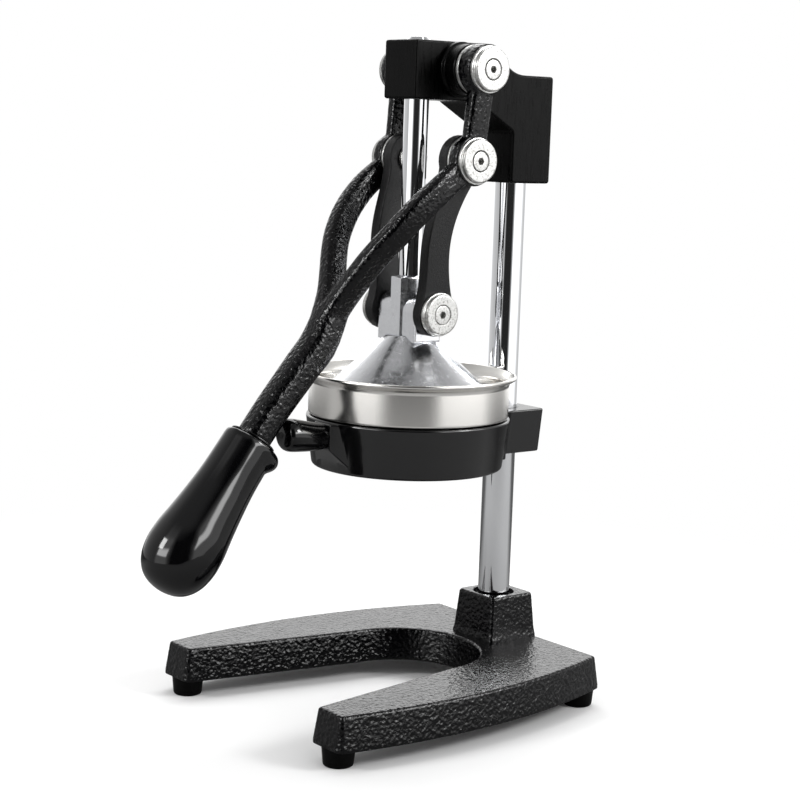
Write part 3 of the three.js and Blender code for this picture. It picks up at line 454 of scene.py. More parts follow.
# %% Plastic and rubber
moulded_plastic, place = new_finish("polished_phenolic_plastic", 0x040405, 0.08, Specular_IOR_Level=0.45)
flow = add_node(moulded_plastic, "ShaderNodeTexNoise", "Fac", {
    "Vector": place, "Scale": per_metre(22), "Detail": 1.0, "Roughness": 0.4})
feed(moulded_plastic, "Normal", add_node(moulded_plastic, "ShaderNodeBump", "Normal", {
    "Height": flow, "Distance": 0.5 * MM, "Strength": 0.5}))
handling = add_node(moulded_plastic, "ShaderNodeTexNoise", "Fac", {
    "Vector": place, "Scale": per_metre(4), "Detail": 4.0, "Roughness": 0.6})
feed(moulded_plastic, "Roughness", add_node(moulded_plastic, "ShaderNodeMapRange", "Result", {
    "Value": handling, "From Min": 0.35, "From Max": 0.7, "To Min": 0.06, "To Max": 0.1}))

moulded_rubber, place = new_finish("moulded_black_rubber", 0x030303, 0.4, Specular_IOR_Level=0.1)
bloom = add_node(moulded_rubber, "ShaderNodeTexNoise", "Fac", {
    "Vector": place, "Scale": per_metre(0.8), "Detail": 3.0, "Roughness": 0.6})
feed(moulded_rubber, "Normal", add_node(moulded_rubber, "ShaderNodeBump", "Normal", {
    "Height": bloom, "Distance": 0.06 * MM, "Strength": 1.0}))
print("plastic and rubber ready")

# %% [markdown]
# ## Finishing a piece
# A finished piece gets its material, smooth shading broken at its sharp edges and the body that it
# moves with, and the frame nodes that it stands for are hidden.


# %% Finishing a piece
def finish(piece, material, body, slot, *nodes, sharp=40):
    piece.data.materials.clear()
    piece.data.materials.append(material)
    make_active(piece)
    bpy.ops.object.shade_smooth_by_angle(angle=math.radians(sharp))
    apply_modifier(piece, "WEIGHTED_NORMAL", keep_sharp=True, weight=60)
    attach(piece, body)
    if nodes:
        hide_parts(*nodes)
    print(piece.name, len(piece.data.polygons), "faces on", body)
    return piece


# %% [markdown]
# ## Base
# The base is a flat casting shaped like a U, open to the front so that a glass can stand in it.
# It is drawn as an outline: a circle primitive gets its corners set on the outline, is extruded to
# the thickness, drawn in towards the top as a casting that left its mould, and rounded, more at the
# top than at the foot. A four-sided socket behind the bay takes the column. It is turned with four
# sides, bevelled, and united with the base, so that the two have one skin.

# %% Base outline
BASE_THICKNESS = 19.6
BASE_DRAFT = 3.3
BASE_EDGE = 1.8
BASE_FOOT_EDGE = 0.4
BASE_CORNER = 1.1
BASE_FRONT = 105
BASE_BACK = 92
BASE_FRONT_HALF = 86
BASE_MIDDLE_HALF = 92
BASE_BACK_HALF = 72.5
BAY_RADIUS = 47
BAY_SETBACK = 4
ARM_FRONT = 20.5
FOOT_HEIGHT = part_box("base_casting")[0].z / MM


def base_outline():
    """The top outline, right side first, with its outer corners rounded."""
    middle_x = 2 * BASE_MIDDLE_HALF - (BASE_FRONT_HALF + BASE_BACK_HALF) / 2
    front = Vector((BASE_FRONT_HALF, -BASE_FRONT))
    pull = Vector((middle_x, 0))
    back = Vector((BASE_BACK_HALF, BASE_BACK))
    corners_right = [(0, BASE_BACK, 0)]
    for step in range(24, -1, -1):
        share = step / 24
        point = front.lerp(pull, share).lerp(pull.lerp(back, share), share)
        corners_right.append((*point, BASE_CORNER if step in (0, 24) else 0))
    corners_right.append((BASE_FRONT_HALF - ARM_FRONT, -BASE_FRONT, BASE_CORNER))
    for step in range(25):
        angle = math.radians(90 * step / 24)
        point = Vector((BAY_RADIUS * math.cos(angle), BAY_SETBACK + BAY_RADIUS * math.sin(angle)))
        corners_right.append((*point, 0))
    half = rounded(corners_right, BASE_CORNER)
    return half + [(-x, y) for x, y in reversed(half[1:-1])]


def grown(outline, distance):
    """Moves an outline square to its own edges."""
    moved = []
    for index, point in enumerate(outline):
        before = Vector(outline[index - 1])
        after = Vector(outline[(index + 1) % len(outline)])
        along = (after - before).normalized()
        moved.append((point[0] - along.y * distance, point[1] + along.x * distance))
    return moved


lower_outline = grown(base_outline(), BASE_DRAFT)
print("base outline corners", len(lower_outline))


# %% Base plate and socket
SOCKET_HEIGHT = 26.7
SOCKET_CORNER = 2.2
SOCKET_SETBACK = 1.6
SOCKET_SIDES = [(18.9, -16), (18.8, 0.4), (18.1, 3.6), (16.3, SOCKET_HEIGHT), (14, SOCKET_HEIGHT)]
column_y = middle("column")[0]
base_top = FOOT_HEIGHT + BASE_THICKNESS


def pick_edges(piece, test):
    """In edit mode: selects the edges whose two ends pass the test."""
    bpy.ops.mesh.select_mode(type="EDGE")
    shape = bmesh.from_edit_mesh(piece.data)
    for edge in shape.edges:
        edge.select_set(bool(test(edge.verts[0].co, edge.verts[1].co)))
    bmesh.update_edit_mesh(piece.data)


base_body = plate("base_body", lower_outline, BASE_THICKNESS, BASE_EDGE,
                  draft=BASE_DRAFT - BASE_EDGE / 2, foot_edge=BASE_FOOT_EDGE)
settle(base_body, at(0, 0, FOOT_HEIGHT))
socket = turned("socket", [
    (half * math.sqrt(2), height) for half, height in rounded(SOCKET_SIDES, 1.9)], sides=4)
open_piece(socket)
pick_edges(socket, lambda start, end: abs(start.z - end.z) > 0.01 * MM)
bpy.ops.mesh.bevel(offset=SOCKET_CORNER * MM, segments=4, profile=0.5)
close_piece()
settle(socket, at(0, column_y + SOCKET_SETBACK, base_top), (0, 0, math.radians(45)))

# %% Join the base and the socket, and cut the socket's mouth
COLUMN_BORE = 9.9
MOUTH_RADIUS = 12.6
MOUTH_FLARE = 13.4
MOUTH_DEPTH = 2.2
BORE_FLOOR = 9
combined(base_body, [socket], "UNION")
mouth = turned("mouth", [(MOUTH_RADIUS, 0), (MOUTH_RADIUS, 2), (MOUTH_FLARE, 2.6), (MOUTH_FLARE, 6)])
settle(mouth, at(0, column_y, base_top + SOCKET_HEIGHT - MOUTH_DEPTH))
bore = turned("bore", [(COLUMN_BORE, 0), (COLUMN_BORE, 40)])
settle(bore, at(0, column_y, FOOT_HEIGHT + BORE_FLOOR))
combined(base_body, [mouth, bore], "DIFFERENCE")
finish(base_body, hammered_enamel, "stand", "hammered_black", "base_casting", sharp=32)

# %% [markdown]
# ## Feet and column
# Four turned rubber feet, each with a softly rounded tread. The column is a straight bar, so
# it is a turned piece with a small chamfer at each end.

# %% Feet
RECESS_RADIUS = 5.6
RECESS_DEPTH = 4
foot_low, foot_high = corners("foot_front_left")
foot_radius = (foot_high.x - foot_low.x) / 2
tread_outline = rounded([
    (RECESS_RADIUS, RECESS_DEPTH, 0.4), (RECESS_RADIUS, 0, 0.4), (foot_radius - 1, 0, 1.7),
    (foot_radius, FOOT_HEIGHT, 0.1), (3, FOOT_HEIGHT)], 0.9)
for end in ("front", "rear"):
    for side in ("left", "right"):
        name = f"foot_{end}_{side}"
        x = (inner_face(name) + outer_face(name)) / 2
        foot = turned(f"tread_{end}_{side}", tread_outline, 64)
        settle(foot, at(x, middle(name)[0], 0))
        finish(foot, moulded_rubber, "stand", "black_rubber", name)

# %% Column
COLUMN_RADIUS = 9.6
COLUMN_CHAMFER = 1
column_low, column_high = (corner.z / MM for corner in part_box("column"))
column_bar = turned("column_bar", rounded([
    (COLUMN_RADIUS - COLUMN_CHAMFER, column_low), (COLUMN_RADIUS, column_low + COLUMN_CHAMFER),
    (COLUMN_RADIUS, column_high - COLUMN_CHAMFER), (COLUMN_RADIUS - COLUMN_CHAMFER, column_high)], 0.3))
settle(column_bar, at(0, column_y, 0))
finish(column_bar, chrome, "stand", "chrome", "column")

# %% [markdown]
# ## Head
# The head is one casting: a block at the front guides the plunger rod, a deeper block at the back
# sits on the column, and a round boss on each side carries the lever. It could be carved from
# one box, but a founder builds the pattern from plates and turned bosses, and so do these cells.

# %% Head plates
SIDEWAYS = (math.radians(90), 0, math.radians(90))
HEAD_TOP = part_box("head_casting")[1].z / MM
HEAD_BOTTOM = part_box("head_casting")[0].z / MM
HEAD_FRONT = -13
HEAD_BACK = 89.7
HEAD_BLOCK_FRONT = 59.3
HEAD_BLOCK_START = 65
HEAD_SHOULDER = 370.9
HEAD_GUIDE_BOTTOM = 354.4
HEAD_GUSSET_FOOT = 338
HEAD_GUSSET_START = 30
WEB_INSET = 2
GUIDE_HALF = 14.4
BLOCK_HALF = 17.6
slope_foot = (HEAD_BLOCK_FRONT + 3, HEAD_SHOULDER, 6)
slope_sag = (HEAD_BLOCK_FRONT - 6, HEAD_SHOULDER + 4.4, 9)
slope_top = (HEAD_BLOCK_FRONT - 16, HEAD_TOP, 3)
guide_outline = rounded_loop([
    (0, HEAD_GUIDE_BOTTOM), (HEAD_GUSSET_START, HEAD_GUIDE_BOTTOM, 4),
    (HEAD_BLOCK_FRONT, HEAD_GUSSET_FOOT), (HEAD_BLOCK_FRONT, HEAD_BOTTOM),
    (HEAD_BACK - WEB_INSET, HEAD_BOTTOM), (HEAD_BACK - WEB_INSET, HEAD_SHOULDER),
    slope_foot, slope_sag, slope_top, (HEAD_FRONT, HEAD_TOP), (HEAD_FRONT, HEAD_GUIDE_BOTTOM)], 1.8)
head_body = plate("head_body", guide_outline, 2 * GUIDE_HALF, 1.2)
settle(head_body, at(-GUIDE_HALF, 0, 0), SIDEWAYS)
wide_outline = rounded_loop([
    (HEAD_BLOCK_START, HEAD_BOTTOM), (HEAD_BACK, HEAD_BOTTOM), (HEAD_BACK, HEAD_SHOULDER),
    slope_foot, slope_sag, slope_top,
    (HEAD_GUSSET_START, HEAD_TOP, 2), (HEAD_GUSSET_START, HEAD_GUIDE_BOTTOM, 2.4),
    (HEAD_BLOCK_FRONT, HEAD_GUSSET_FOOT), (HEAD_BLOCK_FRONT, HEAD_BOTTOM)], 2)
wide_block = plate("wide_block", wide_outline, 2 * BLOCK_HALF, 1.4)
settle(wide_block, at(-BLOCK_HALF, 0, 0), SIDEWAYS)

# %% Head bosses and bores
ALONG_X = (0, math.radians(90), 0)
BOSS_RADIUS = 14.4
BOSS_REACH = outer_face("head_casting")
BOSS_ROOT_RADIUS = 15.7
BOSS_ROOT_REACH = 18
ROD_BORE = 7.45
ROD_MOUTH = 8.4
COLUMN_MOUTH = 10.8
boss = turned("boss", rounded([
    (BOSS_RADIUS - 1, -BOSS_REACH), (BOSS_RADIUS, -BOSS_REACH + 1),
    (BOSS_RADIUS, -BOSS_ROOT_REACH - 0.6), (BOSS_ROOT_RADIUS, -BOSS_ROOT_REACH),
    (BOSS_ROOT_RADIUS, BOSS_ROOT_REACH), (BOSS_RADIUS, BOSS_ROOT_REACH + 0.6),
    (BOSS_RADIUS, BOSS_REACH - 1), (BOSS_RADIUS - 1, BOSS_REACH)], 0.5, 3), 128)
settle(boss, at(0, *PIVOT), ALONG_X)
combined(head_body, [wide_block, boss], "UNION")
rod_bore = turned("rod_bore", [
    (ROD_BORE, 340), (ROD_BORE, HEAD_TOP - 0.9), (ROD_MOUTH, HEAD_TOP + 0.1), (ROD_MOUTH, 400)], 64)
settle(rod_bore, at(0, 0, 0))
column_bore = turned("column_bore", [
    (COLUMN_MOUTH, 300), (COLUMN_BORE, HEAD_BOTTOM + 0.9), (COLUMN_BORE, HEAD_SHOULDER - 6)], 64)
settle(column_bore, at(0, column_y, 0))
combined(head_body, [rod_bore, column_bore], "DIFFERENCE")
finish(head_body, satin_enamel, "stand", "satin_black", "head_casting", sharp=32)

# %% [markdown]
# ## Pivot caps, screws and washers
# Each pivot ends in a zinc-plated cap: a disc with a thin skirt, countersunk for a socket screw.
# One cap and one screw are modelled, and the rest are copies, so that all of them match.

# %% One cap and one screw
CAP_RADIUS = 12.3
CAP_WIDTH = 4.3
CAP_BORE = 2.9
SKIRT_RADIUS = 13.25
SKIRT_WIDTH = 1.7
SCREW_RADIUS = 2.6
HEAD_RADIUS = 5.6
HEX_ACROSS = 4
HEX_DEPTH = 3.5
pattern_cap = turned("pattern_cap", rounded([
    (CAP_BORE, 0), (SKIRT_RADIUS, 0, 0.1), (SKIRT_RADIUS, SKIRT_WIDTH, 0.5),
    (CAP_RADIUS + 0.1, SKIRT_WIDTH, 0.1), (CAP_RADIUS - 0.1, SKIRT_WIDTH + 0.5, 0.1),
    (CAP_RADIUS, SKIRT_WIDTH + 0.9, 0.1), (CAP_RADIUS, CAP_WIDTH - 0.5, 0.4),
    (CAP_RADIUS - 0.8, CAP_WIDTH, 0.4), (HEAD_RADIUS + 0.7, CAP_WIDTH, 0.2),
    (HEAD_RADIUS + 0.1, CAP_WIDTH - 0.9, 0.1), (CAP_BORE, CAP_WIDTH - 3)], 0.3, 3), 96, closed=True)
pattern_screw = turned("pattern_screw", rounded([
    (SCREW_RADIUS, CAP_WIDTH - 9), (SCREW_RADIUS, CAP_WIDTH - 3), (HEAD_RADIUS - 0.1, CAP_WIDTH - 0.35),
    (HEAD_RADIUS - 0.3, CAP_WIDTH - 0.05), (3.1, CAP_WIDTH), (2.4, CAP_WIDTH)], 0.2, 2), 72)
bpy.ops.mesh.primitive_cylinder_add(
    vertices=6, radius=HEX_ACROSS / math.sqrt(3) * MM, depth=2 * HEX_DEPTH * MM)
key = settle(added("key"), (0, 0, CAP_WIDTH * MM))
combined(pattern_screw, [key], "DIFFERENCE")


# %% Copies and mirrored pairs
def copied(piece, name, stretch):
    """A copy with a mesh of its own, stretched about the origin."""
    other = piece.copy()
    other.data = piece.data.copy()
    other.name = name
    other.data.name = name
    bpy.context.scene.collection.objects.link(other)
    other.scale = stretch
    return settle(other)


def twin(piece):
    """The same piece on the other side of the middle plane."""
    return face_outward(copied(piece, piece.name.replace("right", "left"), (-1, 1, 1)))


def finish_pair(right, material, body, slot, node, sharp=40):
    """Mirrors a right-hand piece, and finishes it and its twin."""
    left = twin(right)
    finish(right, material, body, slot, node, sharp=sharp)
    finish(left, material, body, slot, node.replace("right", "left"), sharp=sharp)


print("two patterns to copy:", pattern_cap.name, pattern_screw.name)


# %% Place the caps and screws
LOWER_CAP_SHARE = 0.945


def on_right(piece, inside, spot):
    """Lays a piece that was made along +Z against a pivot, pointing out to the right."""
    return settle(piece, at(inside, *spot), ALONG_X)


fittings = {"pivot": ("stand", PIVOT, 1), "elbow": ("lever", ELBOW, 1),
            "lower": ("plunger", CROSSHEAD, LOWER_CAP_SHARE)}
for spot_name, (body, spot, share) in fittings.items():
    inside = inner_face(f"{spot_name}_cap_right")
    for kind, pattern in (("cap", pattern_cap), ("screw", pattern_screw)):
        grow = share if kind == "cap" else 1
        right = copied(pattern, f"{spot_name}_{kind}_face_right", (grow, grow, 1))
        on_right(right, inside, spot)
        finish_pair(right, zinc_plate, body, "zinc_plated", f"{spot_name}_{kind}_right", sharp=30)
for pattern in (pattern_cap, pattern_screw):
    bpy.data.objects.remove(pattern)

# %% Washers and the plain zinc parts
WASHER_BORE = 7.5
WASHER_RADIUS = 13.9


def paint(material, *nodes):
    """Gives frame nodes that stay in view their finish."""
    for name in nodes:
        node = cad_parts[name]
        node.data.materials.clear()
        node.data.materials.append(material)


for spot_name, body, spot in (("pivot", "stand", PIVOT), ("elbow", "lever", ELBOW)):
    inside, outside = (face(f"{spot_name}_washer_right") for face in (inner_face, outer_face))
    width = outside - inside
    right = turned(f"{spot_name}_ring_right", rounded_loop([
        (WASHER_BORE, 0), (WASHER_RADIUS, 0), (WASHER_RADIUS, width), (WASHER_BORE, width)],
        0.35, 3), 96, closed=True)
    on_right(right, inside, spot)
    finish_pair(right, zinc_plate, body, "zinc_plated", f"{spot_name}_washer_right")
paint(zinc_plate, "pivot_shaft", "cross_pin", "elbow_pin_left", "elbow_pin_right",
      "link_pin_left", "link_pin_right", "column_bolt", "column_washer", "head_set_screw",
      "holder_set_screw", "handle_stud", "foot_screw_front_left", "foot_screw_front_right",
      "foot_screw_rear_left", "foot_screw_rear_right")

# %% [markdown]
# ## Links
# Two flat bowed bars join the lever's elbows to the press cone. Each is a plate with two round
# eyes and a waist between them that bows to the front, and it leans out a little on its way up,
# because the elbows stand further apart than the ends of the cross pin.

# %% Link outline
LINK_WIDTH = 7.5
LOWER_EYE = 13
UPPER_EYE = 14.2
WAIST = 15.6
WAIST_START = 0.1
WAIST_SPAN = 0.77
BOW = 7.6
FILLET = 4.7
FILLET_LENGTH = 11
LOWER_FILLET_START = 4.4
UPPER_FILLET_START = 6.2
link_length = math.dist(ELBOW, CROSSHEAD)
link_lean = math.atan2(ELBOW[0] - CROSSHEAD[0], ELBOW[1] - CROSSHEAD[1])


def fillet(share):
    """How far the waist still widens into the eyes, at a share of the way up the link."""
    low, high = link_length * share, link_length * (1 - share)
    return FILLET * (math.exp(-(low - LOWER_FILLET_START) / FILLET_LENGTH)
                     + math.exp(-(high - UPPER_FILLET_START) / FILLET_LENGTH))


def waist_edge(side, shares):
    """One edge of the waist, which bows to the front. A side of 1 is the back edge, -1 the front."""
    return [(side * (WAIST / 2 + fillet(share)) - BOW * math.sin(math.pi * share) ** 1.5,
             link_length * share) for share in shares]


def eye_arc(radius, height, first, last):
    """Points round an eye, from one angle in degrees to another."""
    angles = [math.radians(first + (last - first) * step / 18) for step in range(19)]
    return [(radius * math.cos(angle), height + radius * math.sin(angle)) for angle in angles]


shares = [WAIST_START + WAIST_SPAN * step / 24 for step in range(25)]
link_outline = [
    *eye_arc(LOWER_EYE, 0, -200, 20), *waist_edge(1, shares),
    *eye_arc(UPPER_EYE, link_length, -26, 206), *waist_edge(-1, reversed(shares))]
print("link", round(link_length, 1), "long, leans", round(math.degrees(link_lean), 1), "degrees back")


# %% Right and left link
LEAN_START = 0.14
LEAN_END = 0.84
link_inside = inner_face("link_right")
link_lean_out = outer_face("link_right") - link_inside - LINK_WIDTH
link_right = plate("link_bar_right", link_outline, LINK_WIDTH, 1.0)
settle(link_right, (0, 0, 0), SIDEWAYS)
settle(link_right, (0, 0, 0), (-link_lean, 0, 0))
settle(link_right, at(link_inside, *CROSSHEAD))
open_piece(link_right, "SELECT")
for height in (LEAN_START, 0.22, 0.32, 0.42, 0.52, 0.62, 0.72, 0.8):
    bpy.ops.mesh.bisect(
        plane_co=at(0, 0, CROSSHEAD[1] + link_length * height), plane_no=(0, 0, 1), xstart=0, xend=1)
    bpy.ops.mesh.select_all(action="SELECT")
close_piece()
lean_low, lean_high = (CROSSHEAD[1] + link_length * share for share in (LEAN_START, LEAN_END))
for vertex in link_right.data.vertices:
    share = min(max((vertex.co.z / MM - lean_low) / (lean_high - lean_low), 0), 1)
    vertex.co.x += link_lean_out * share * MM
finish_pair(link_right, cast_enamel, "links", "satin_black", "link_right", sharp=50)

# %% [markdown]
# ## Lever
# The lever is a wishbone: two eyes on the head's shaft, short arms down to the elbows, a fork that
# sweeps forward and down to meet in one shaft, and a tang inside the grip. Each arm is a rounded
# section extruded from place to place. Unions would leave sharp inner corners, so a voxel remesh
# melts all of it into one skin instead, and a little smoothing softens it as a casting is soft.


# %% Section drawn along a path
def between(points, share):
    """A point on a smooth curve that runs through all the points."""
    place = share * (len(points) - 1)
    index = min(int(place), len(points) - 2)
    t = place - index
    p0, p1 = points[max(index - 1, 0)], points[index]
    p2, p3 = points[index + 1], points[min(index + 2, len(points) - 1)]
    return tuple(
        0.5 * (2 * b + (c - a) * t + (2 * a - 5 * b + 4 * c - d) * t ** 2
               + (3 * b - a - 3 * c + d) * t ** 3)
        for a, b, c, d in zip(p0, p1, p2, p3))


def drawn(name, stations, steps, corner=0.3):
    """Extrudes a rounded section along stations of (x, y, z, width, thickness) in millimetres.
    The width lies square to the path in the side view, and the thickness lies across the press."""
    path = [between(stations, step / steps) for step in range(steps + 1)]
    pitches = []
    for index in range(len(path)):
        before, after = path[max(index - 1, 0)], path[min(index + 1, len(path) - 1)]
        pitches.append(math.atan2(before[1] - after[1], before[2] - after[2]))
    bpy.ops.mesh.primitive_plane_add(size=1)
    piece = added(name)
    open_piece(piece, "SELECT")
    bpy.ops.mesh.bevel(offset=corner, segments=4, affect="VERTICES")
    x, y, z, width, thickness = path[0]
    bpy.ops.transform.resize(value=(thickness * MM, width * MM, 1), center_override=(0, 0, 0))
    bpy.ops.transform.rotate(value=pitches[0], orient_axis="X", center_override=(0, 0, 0))
    bpy.ops.transform.translate(value=at(x, y, z))
    for index in range(1, len(path)):
        here, ahead = path[index - 1], path[index]
        step = Vector(ahead[:3]) - Vector(here[:3])
        bpy.ops.mesh.extrude_region_move(TRANSFORM_OT_translate={"value": step * MM})
        centre = at(*ahead[:3])
        turn = pitches[index] - pitches[index - 1]
        bpy.ops.transform.rotate(value=turn, orient_axis="X", center_override=centre)
        across, along = ahead[4] / here[4], ahead[3] / here[3]
        bpy.ops.transform.resize(value=(across, along, along), center_override=centre)
    close_piece()
    print(name, "drawn through", len(stations), "stations")
    return face_outward(piece)


# %% Places along the lever
ARM_WIDTH = 15.4
FORK_END_WIDTH = 15.6
SHAFT_END = (1.38, 1.77)
reach = ELBOW[1] - CROSSHEAD[1]
upper_eye = (30.3, 40.3)
elbow_eye = (inner_face("elbow_washer_right") + 1.5, inner_face("elbow_cap_right") - 0.05)
eye_middle = (elbow_eye[0] + elbow_eye[1]) / 2
eye_thickness = elbow_eye[1] - elbow_eye[0]


def ahead_of_elbow(forward, down):
    """A depth and a height, from shares of the reach in front of and below the elbow."""
    return ELBOW[0] - reach * forward, ELBOW[1] - reach * down


arm_stations = [
    (elbow_eye[0] + inset, *Vector(PIVOT).lerp(Vector(ELBOW), share), ARM_WIDTH, thickness)
    for share, inset, thickness in (
        (0, 4.55, 9.1), (0.35, 4.4, 8.8), (0.68, 4.0, 8.0), (1, 3.8, eye_thickness))]
fork_stations = [
    (eye_middle * spread, *ahead_of_elbow(forward, down), width, thickness)
    for spread, forward, down, width, thickness in (
        (1, 0, 0, ARM_WIDTH, eye_thickness), (1, 0.135, 0.101, ARM_WIDTH, eye_thickness + 0.4),
        (0.995, 0.257, 0.192, ARM_WIDTH, 9.4), (0.935, 0.367, 0.289, ARM_WIDTH, 10.8),
        (0.865, 0.451, 0.378, ARM_WIDTH, 11.6), (0.77, 0.526, 0.474, ARM_WIDTH, 12),
        (0.65, 0.588, 0.561, ARM_WIDTH, 12.4), (0.5, 0.644, 0.659, ARM_WIDTH, 12.6),
        (0.35, 0.694, 0.765, ARM_WIDTH, 12.6), (0.16, 0.765, 0.911, FORK_END_WIDTH, 12.6),
        (0.03, 0.86, 1.09, FORK_END_WIDTH, 12.6))]
shaft_stations = [
    (0, *ahead_of_elbow(forward, down), 2 * radius, 2 * radius)
    for forward, down, radius in (
        (0.72, 0.82, 4.5), (0.765, 0.93, 7.6), (0.8, 1.0, 9), (0.895, 1.195, 9.9), (1.01, 1.325, 9.7),
        (1.13, 1.463, 9.4), (1.255, 1.61, 9.2), (*SHAFT_END, 9.1))]
print("stations", len(arm_stations), len(fork_stations), len(shaft_stations))

# %% Lever arms, fork, eyes and shaft
EYE_RADIUS = 14.3
EYE_CORE = 12


def eye(name, faces, spot):
    """A round eye about a pivot, between an inner and an outer face."""
    inside, outside = faces
    piece = turned(name, rounded([
        (EYE_CORE, inside), (EYE_RADIUS, inside), (EYE_RADIUS, outside), (EYE_CORE, outside)], 0.9))
    return settle(piece, at(0, *spot), ALONG_X)


rights = [drawn("right_arm", arm_stations, 6), drawn("right_fork", fork_stations, 30),
          eye("right_eye", upper_eye, PIVOT), eye("right_elbow", elbow_eye, ELBOW)]
lefts = [twin(part) for part in rights]
shaft = drawn("shaft", shaft_stations, 18, corner=0.36)

# %% Melt the lever together
GRAIN = 0.85
lever_body = joined("lever_body", [shaft, *rights, *lefts])
apply_modifier(lever_body, "REMESH", mode="VOXEL", voxel_size=GRAIN * MM, adaptivity=0)
apply_modifier(lever_body, "SMOOTH", factor=0.5, iterations=5)
finish(lever_body, hammered_enamel, "lever", "hammered_black", "lever_casting", sharp=80)

# %% [markdown]
# ## Grip
# The grip is a bulb of moulded plastic pushed on the tang, with a lip under its top end for the
# first finger. It is turned from its profile, and the lip is drawn out of its underside.

# %% Grip
GRIP_LEAN = 53.4
GRIP_TURN = (math.radians(90 + GRIP_LEAN), 0, 0)
grip_start = Vector(ahead_of_elbow(*SHAFT_END))
grip_profile = [
    (11.6, 1.6), (13.6, 1.7), (15.0, 2.6), (15.5, 4.6), (15.6, 8), (15.75, 14), (16.0, 24), (16.5, 32),
    (17.2, 39), (18.1, 47), (19.3, 56), (20.6, 64.5), (21.1, 71), (21.1, 75), (20.6, 79.5), (19.3, 84.8),
    (16.9, 89.6), (13.4, 93.6), (9.1, 96.2), (4.5, 97.5), (1.2, 97.9)]
grip_body = turned("grip_body", [between(grip_profile, step / 80) for step in range(81)])

# %% The lip for the first finger
LIP_DEPTH = 5.2
LIP_PLACE = 6.2
LIP_REACH = 7.5
LIP_NARROWING = 2.6
LIP_FADING = 1.3
for vertex in grip_body.data.vertices:
    radius = math.hypot(vertex.co.x, vertex.co.y)
    if radius == 0:
        continue
    under = max(0, -vertex.co.y / radius) ** LIP_NARROWING
    near = max(0, 1 - ((vertex.co.z / MM - LIP_PLACE) / LIP_REACH) ** 2)
    stretch = 1 + LIP_DEPTH * MM * under * near ** LIP_FADING / radius
    vertex.co.x *= stretch
    vertex.co.y *= stretch
settle(grip_body, at(0, *grip_start), GRIP_TURN)
finish(grip_body, moulded_plastic, "lever", "black_plastic", "lever_grip", sharp=50)

# %% Collar
COLLAR_BORE = 8.9
COLLAR_RADIUS = 13.4
collar = turned("grip_ring", rounded_loop([
    (COLLAR_BORE, 0.3), (COLLAR_RADIUS, 0.3), (COLLAR_RADIUS, 1.3), (COLLAR_BORE, 1.3)], 0.3, 3), closed=True)
settle(collar, at(0, *grip_start), GRIP_TURN)
finish(collar, moulded_plastic, "lever", "black_plastic", "grip_collar")

# %% [markdown]
# ## Plunger rod and press cone
# The rod is a chromed bar with a chamfered top. The press cone is one aluminium casting: a wide
# skirt, a block with chamfered corners that takes the rod, and two lugs with round tops that carry
# the cross pin. The skirt is turned, the block and the lugs are plates, and a union joins them.

# %% Plunger rod
ROD_RADIUS = 7.15
ROD_CHAMFER = 1.8
rod_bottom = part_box("press_cone")[1].z / MM + 0.1
rod_top = rod_high.z / MM
rod_bar = turned("rod_bar", [
    (ROD_RADIUS - 0.4, rod_bottom), (ROD_RADIUS, rod_bottom + 0.4), (ROD_RADIUS, rod_top - ROD_CHAMFER),
    (ROD_RADIUS - 1.6, rod_top - 0.1), (ROD_RADIUS - 1.9, rod_top)])
settle(rod_bar, at(0, 0, 0))
finish(rod_bar, chrome, "plunger", "chrome", "plunger_rod", sharp=25)

# %% Skirt of the press cone
CONE_SLOPE = 1.089
SKIRT = 48.9
WALL = 4
SKIRT_LIP = 2.6
CONE_TOP_DROP = 11.6
SHOULDER_RADIUS = 13
HOLLOW_RADIUS = 10.7
CENTRE_RADIUS = 2
cone_low, cone_high = corners("press_cone")
cone_bottom = cone_low.z
cone_top = CROSSHEAD[1] - CONE_TOP_DROP
slant = WALL * math.hypot(1, CONE_SLOPE) / CONE_SLOPE
hollow_top = cone_top - slant * CONE_SLOPE
cone_body = turned("cone_body", rounded_loop([
    (SKIRT - slant, cone_bottom, 0.2), (SKIRT, cone_bottom, 0.5), (SKIRT, cone_bottom + SKIRT_LIP, 1.2),
    (SHOULDER_RADIUS, cone_top - 2.1, 1.2), (5, cone_top - 2, 1), (CENTRE_RADIUS, cone_top - 2, 1),
    (CENTRE_RADIUS, hollow_top, 1), (HOLLOW_RADIUS, hollow_top, 3)], 1, 5), 128, closed=True)
settle(cone_body, at(0, 0, 0))

# %% Block and lugs of the press cone
BLOCK_HALF_WIDTH = 7.3
BLOCK_HALF_DEPTH = 10.6
BLOCK_CHAMFER = 2.8
BLOCK_ROOT = 5
LUG_HALF_DEPTH = 9.5
LUG_DROP = 17.2
LUG_REACH = 17.6
flat_x = BLOCK_HALF_WIDTH - BLOCK_CHAMFER
flat_y = BLOCK_HALF_DEPTH - BLOCK_CHAMFER
cone_block = plate("cone_block", [
    (flat_x, -BLOCK_HALF_DEPTH), (BLOCK_HALF_WIDTH, -flat_y), (BLOCK_HALF_WIDTH, flat_y),
    (flat_x, BLOCK_HALF_DEPTH), (-flat_x, BLOCK_HALF_DEPTH), (-BLOCK_HALF_WIDTH, flat_y),
    (-BLOCK_HALF_WIDTH, -flat_y), (-flat_x, -BLOCK_HALF_DEPTH)], cone_high.z - cone_top + BLOCK_ROOT, 1)
settle(cone_block, at(0, 0, cone_top - BLOCK_ROOT))
lug_top = [(LUG_HALF_DEPTH * math.cos(math.radians(angle)),
            BLOCK_HALF_DEPTH * math.sin(math.radians(angle))) for angle in range(0, 181, 6)]
lugs = plate("lugs", [
    (LUG_HALF_DEPTH, -LUG_DROP), *lug_top, (-LUG_HALF_DEPTH, -LUG_DROP)], 2 * LUG_REACH, 1.2)
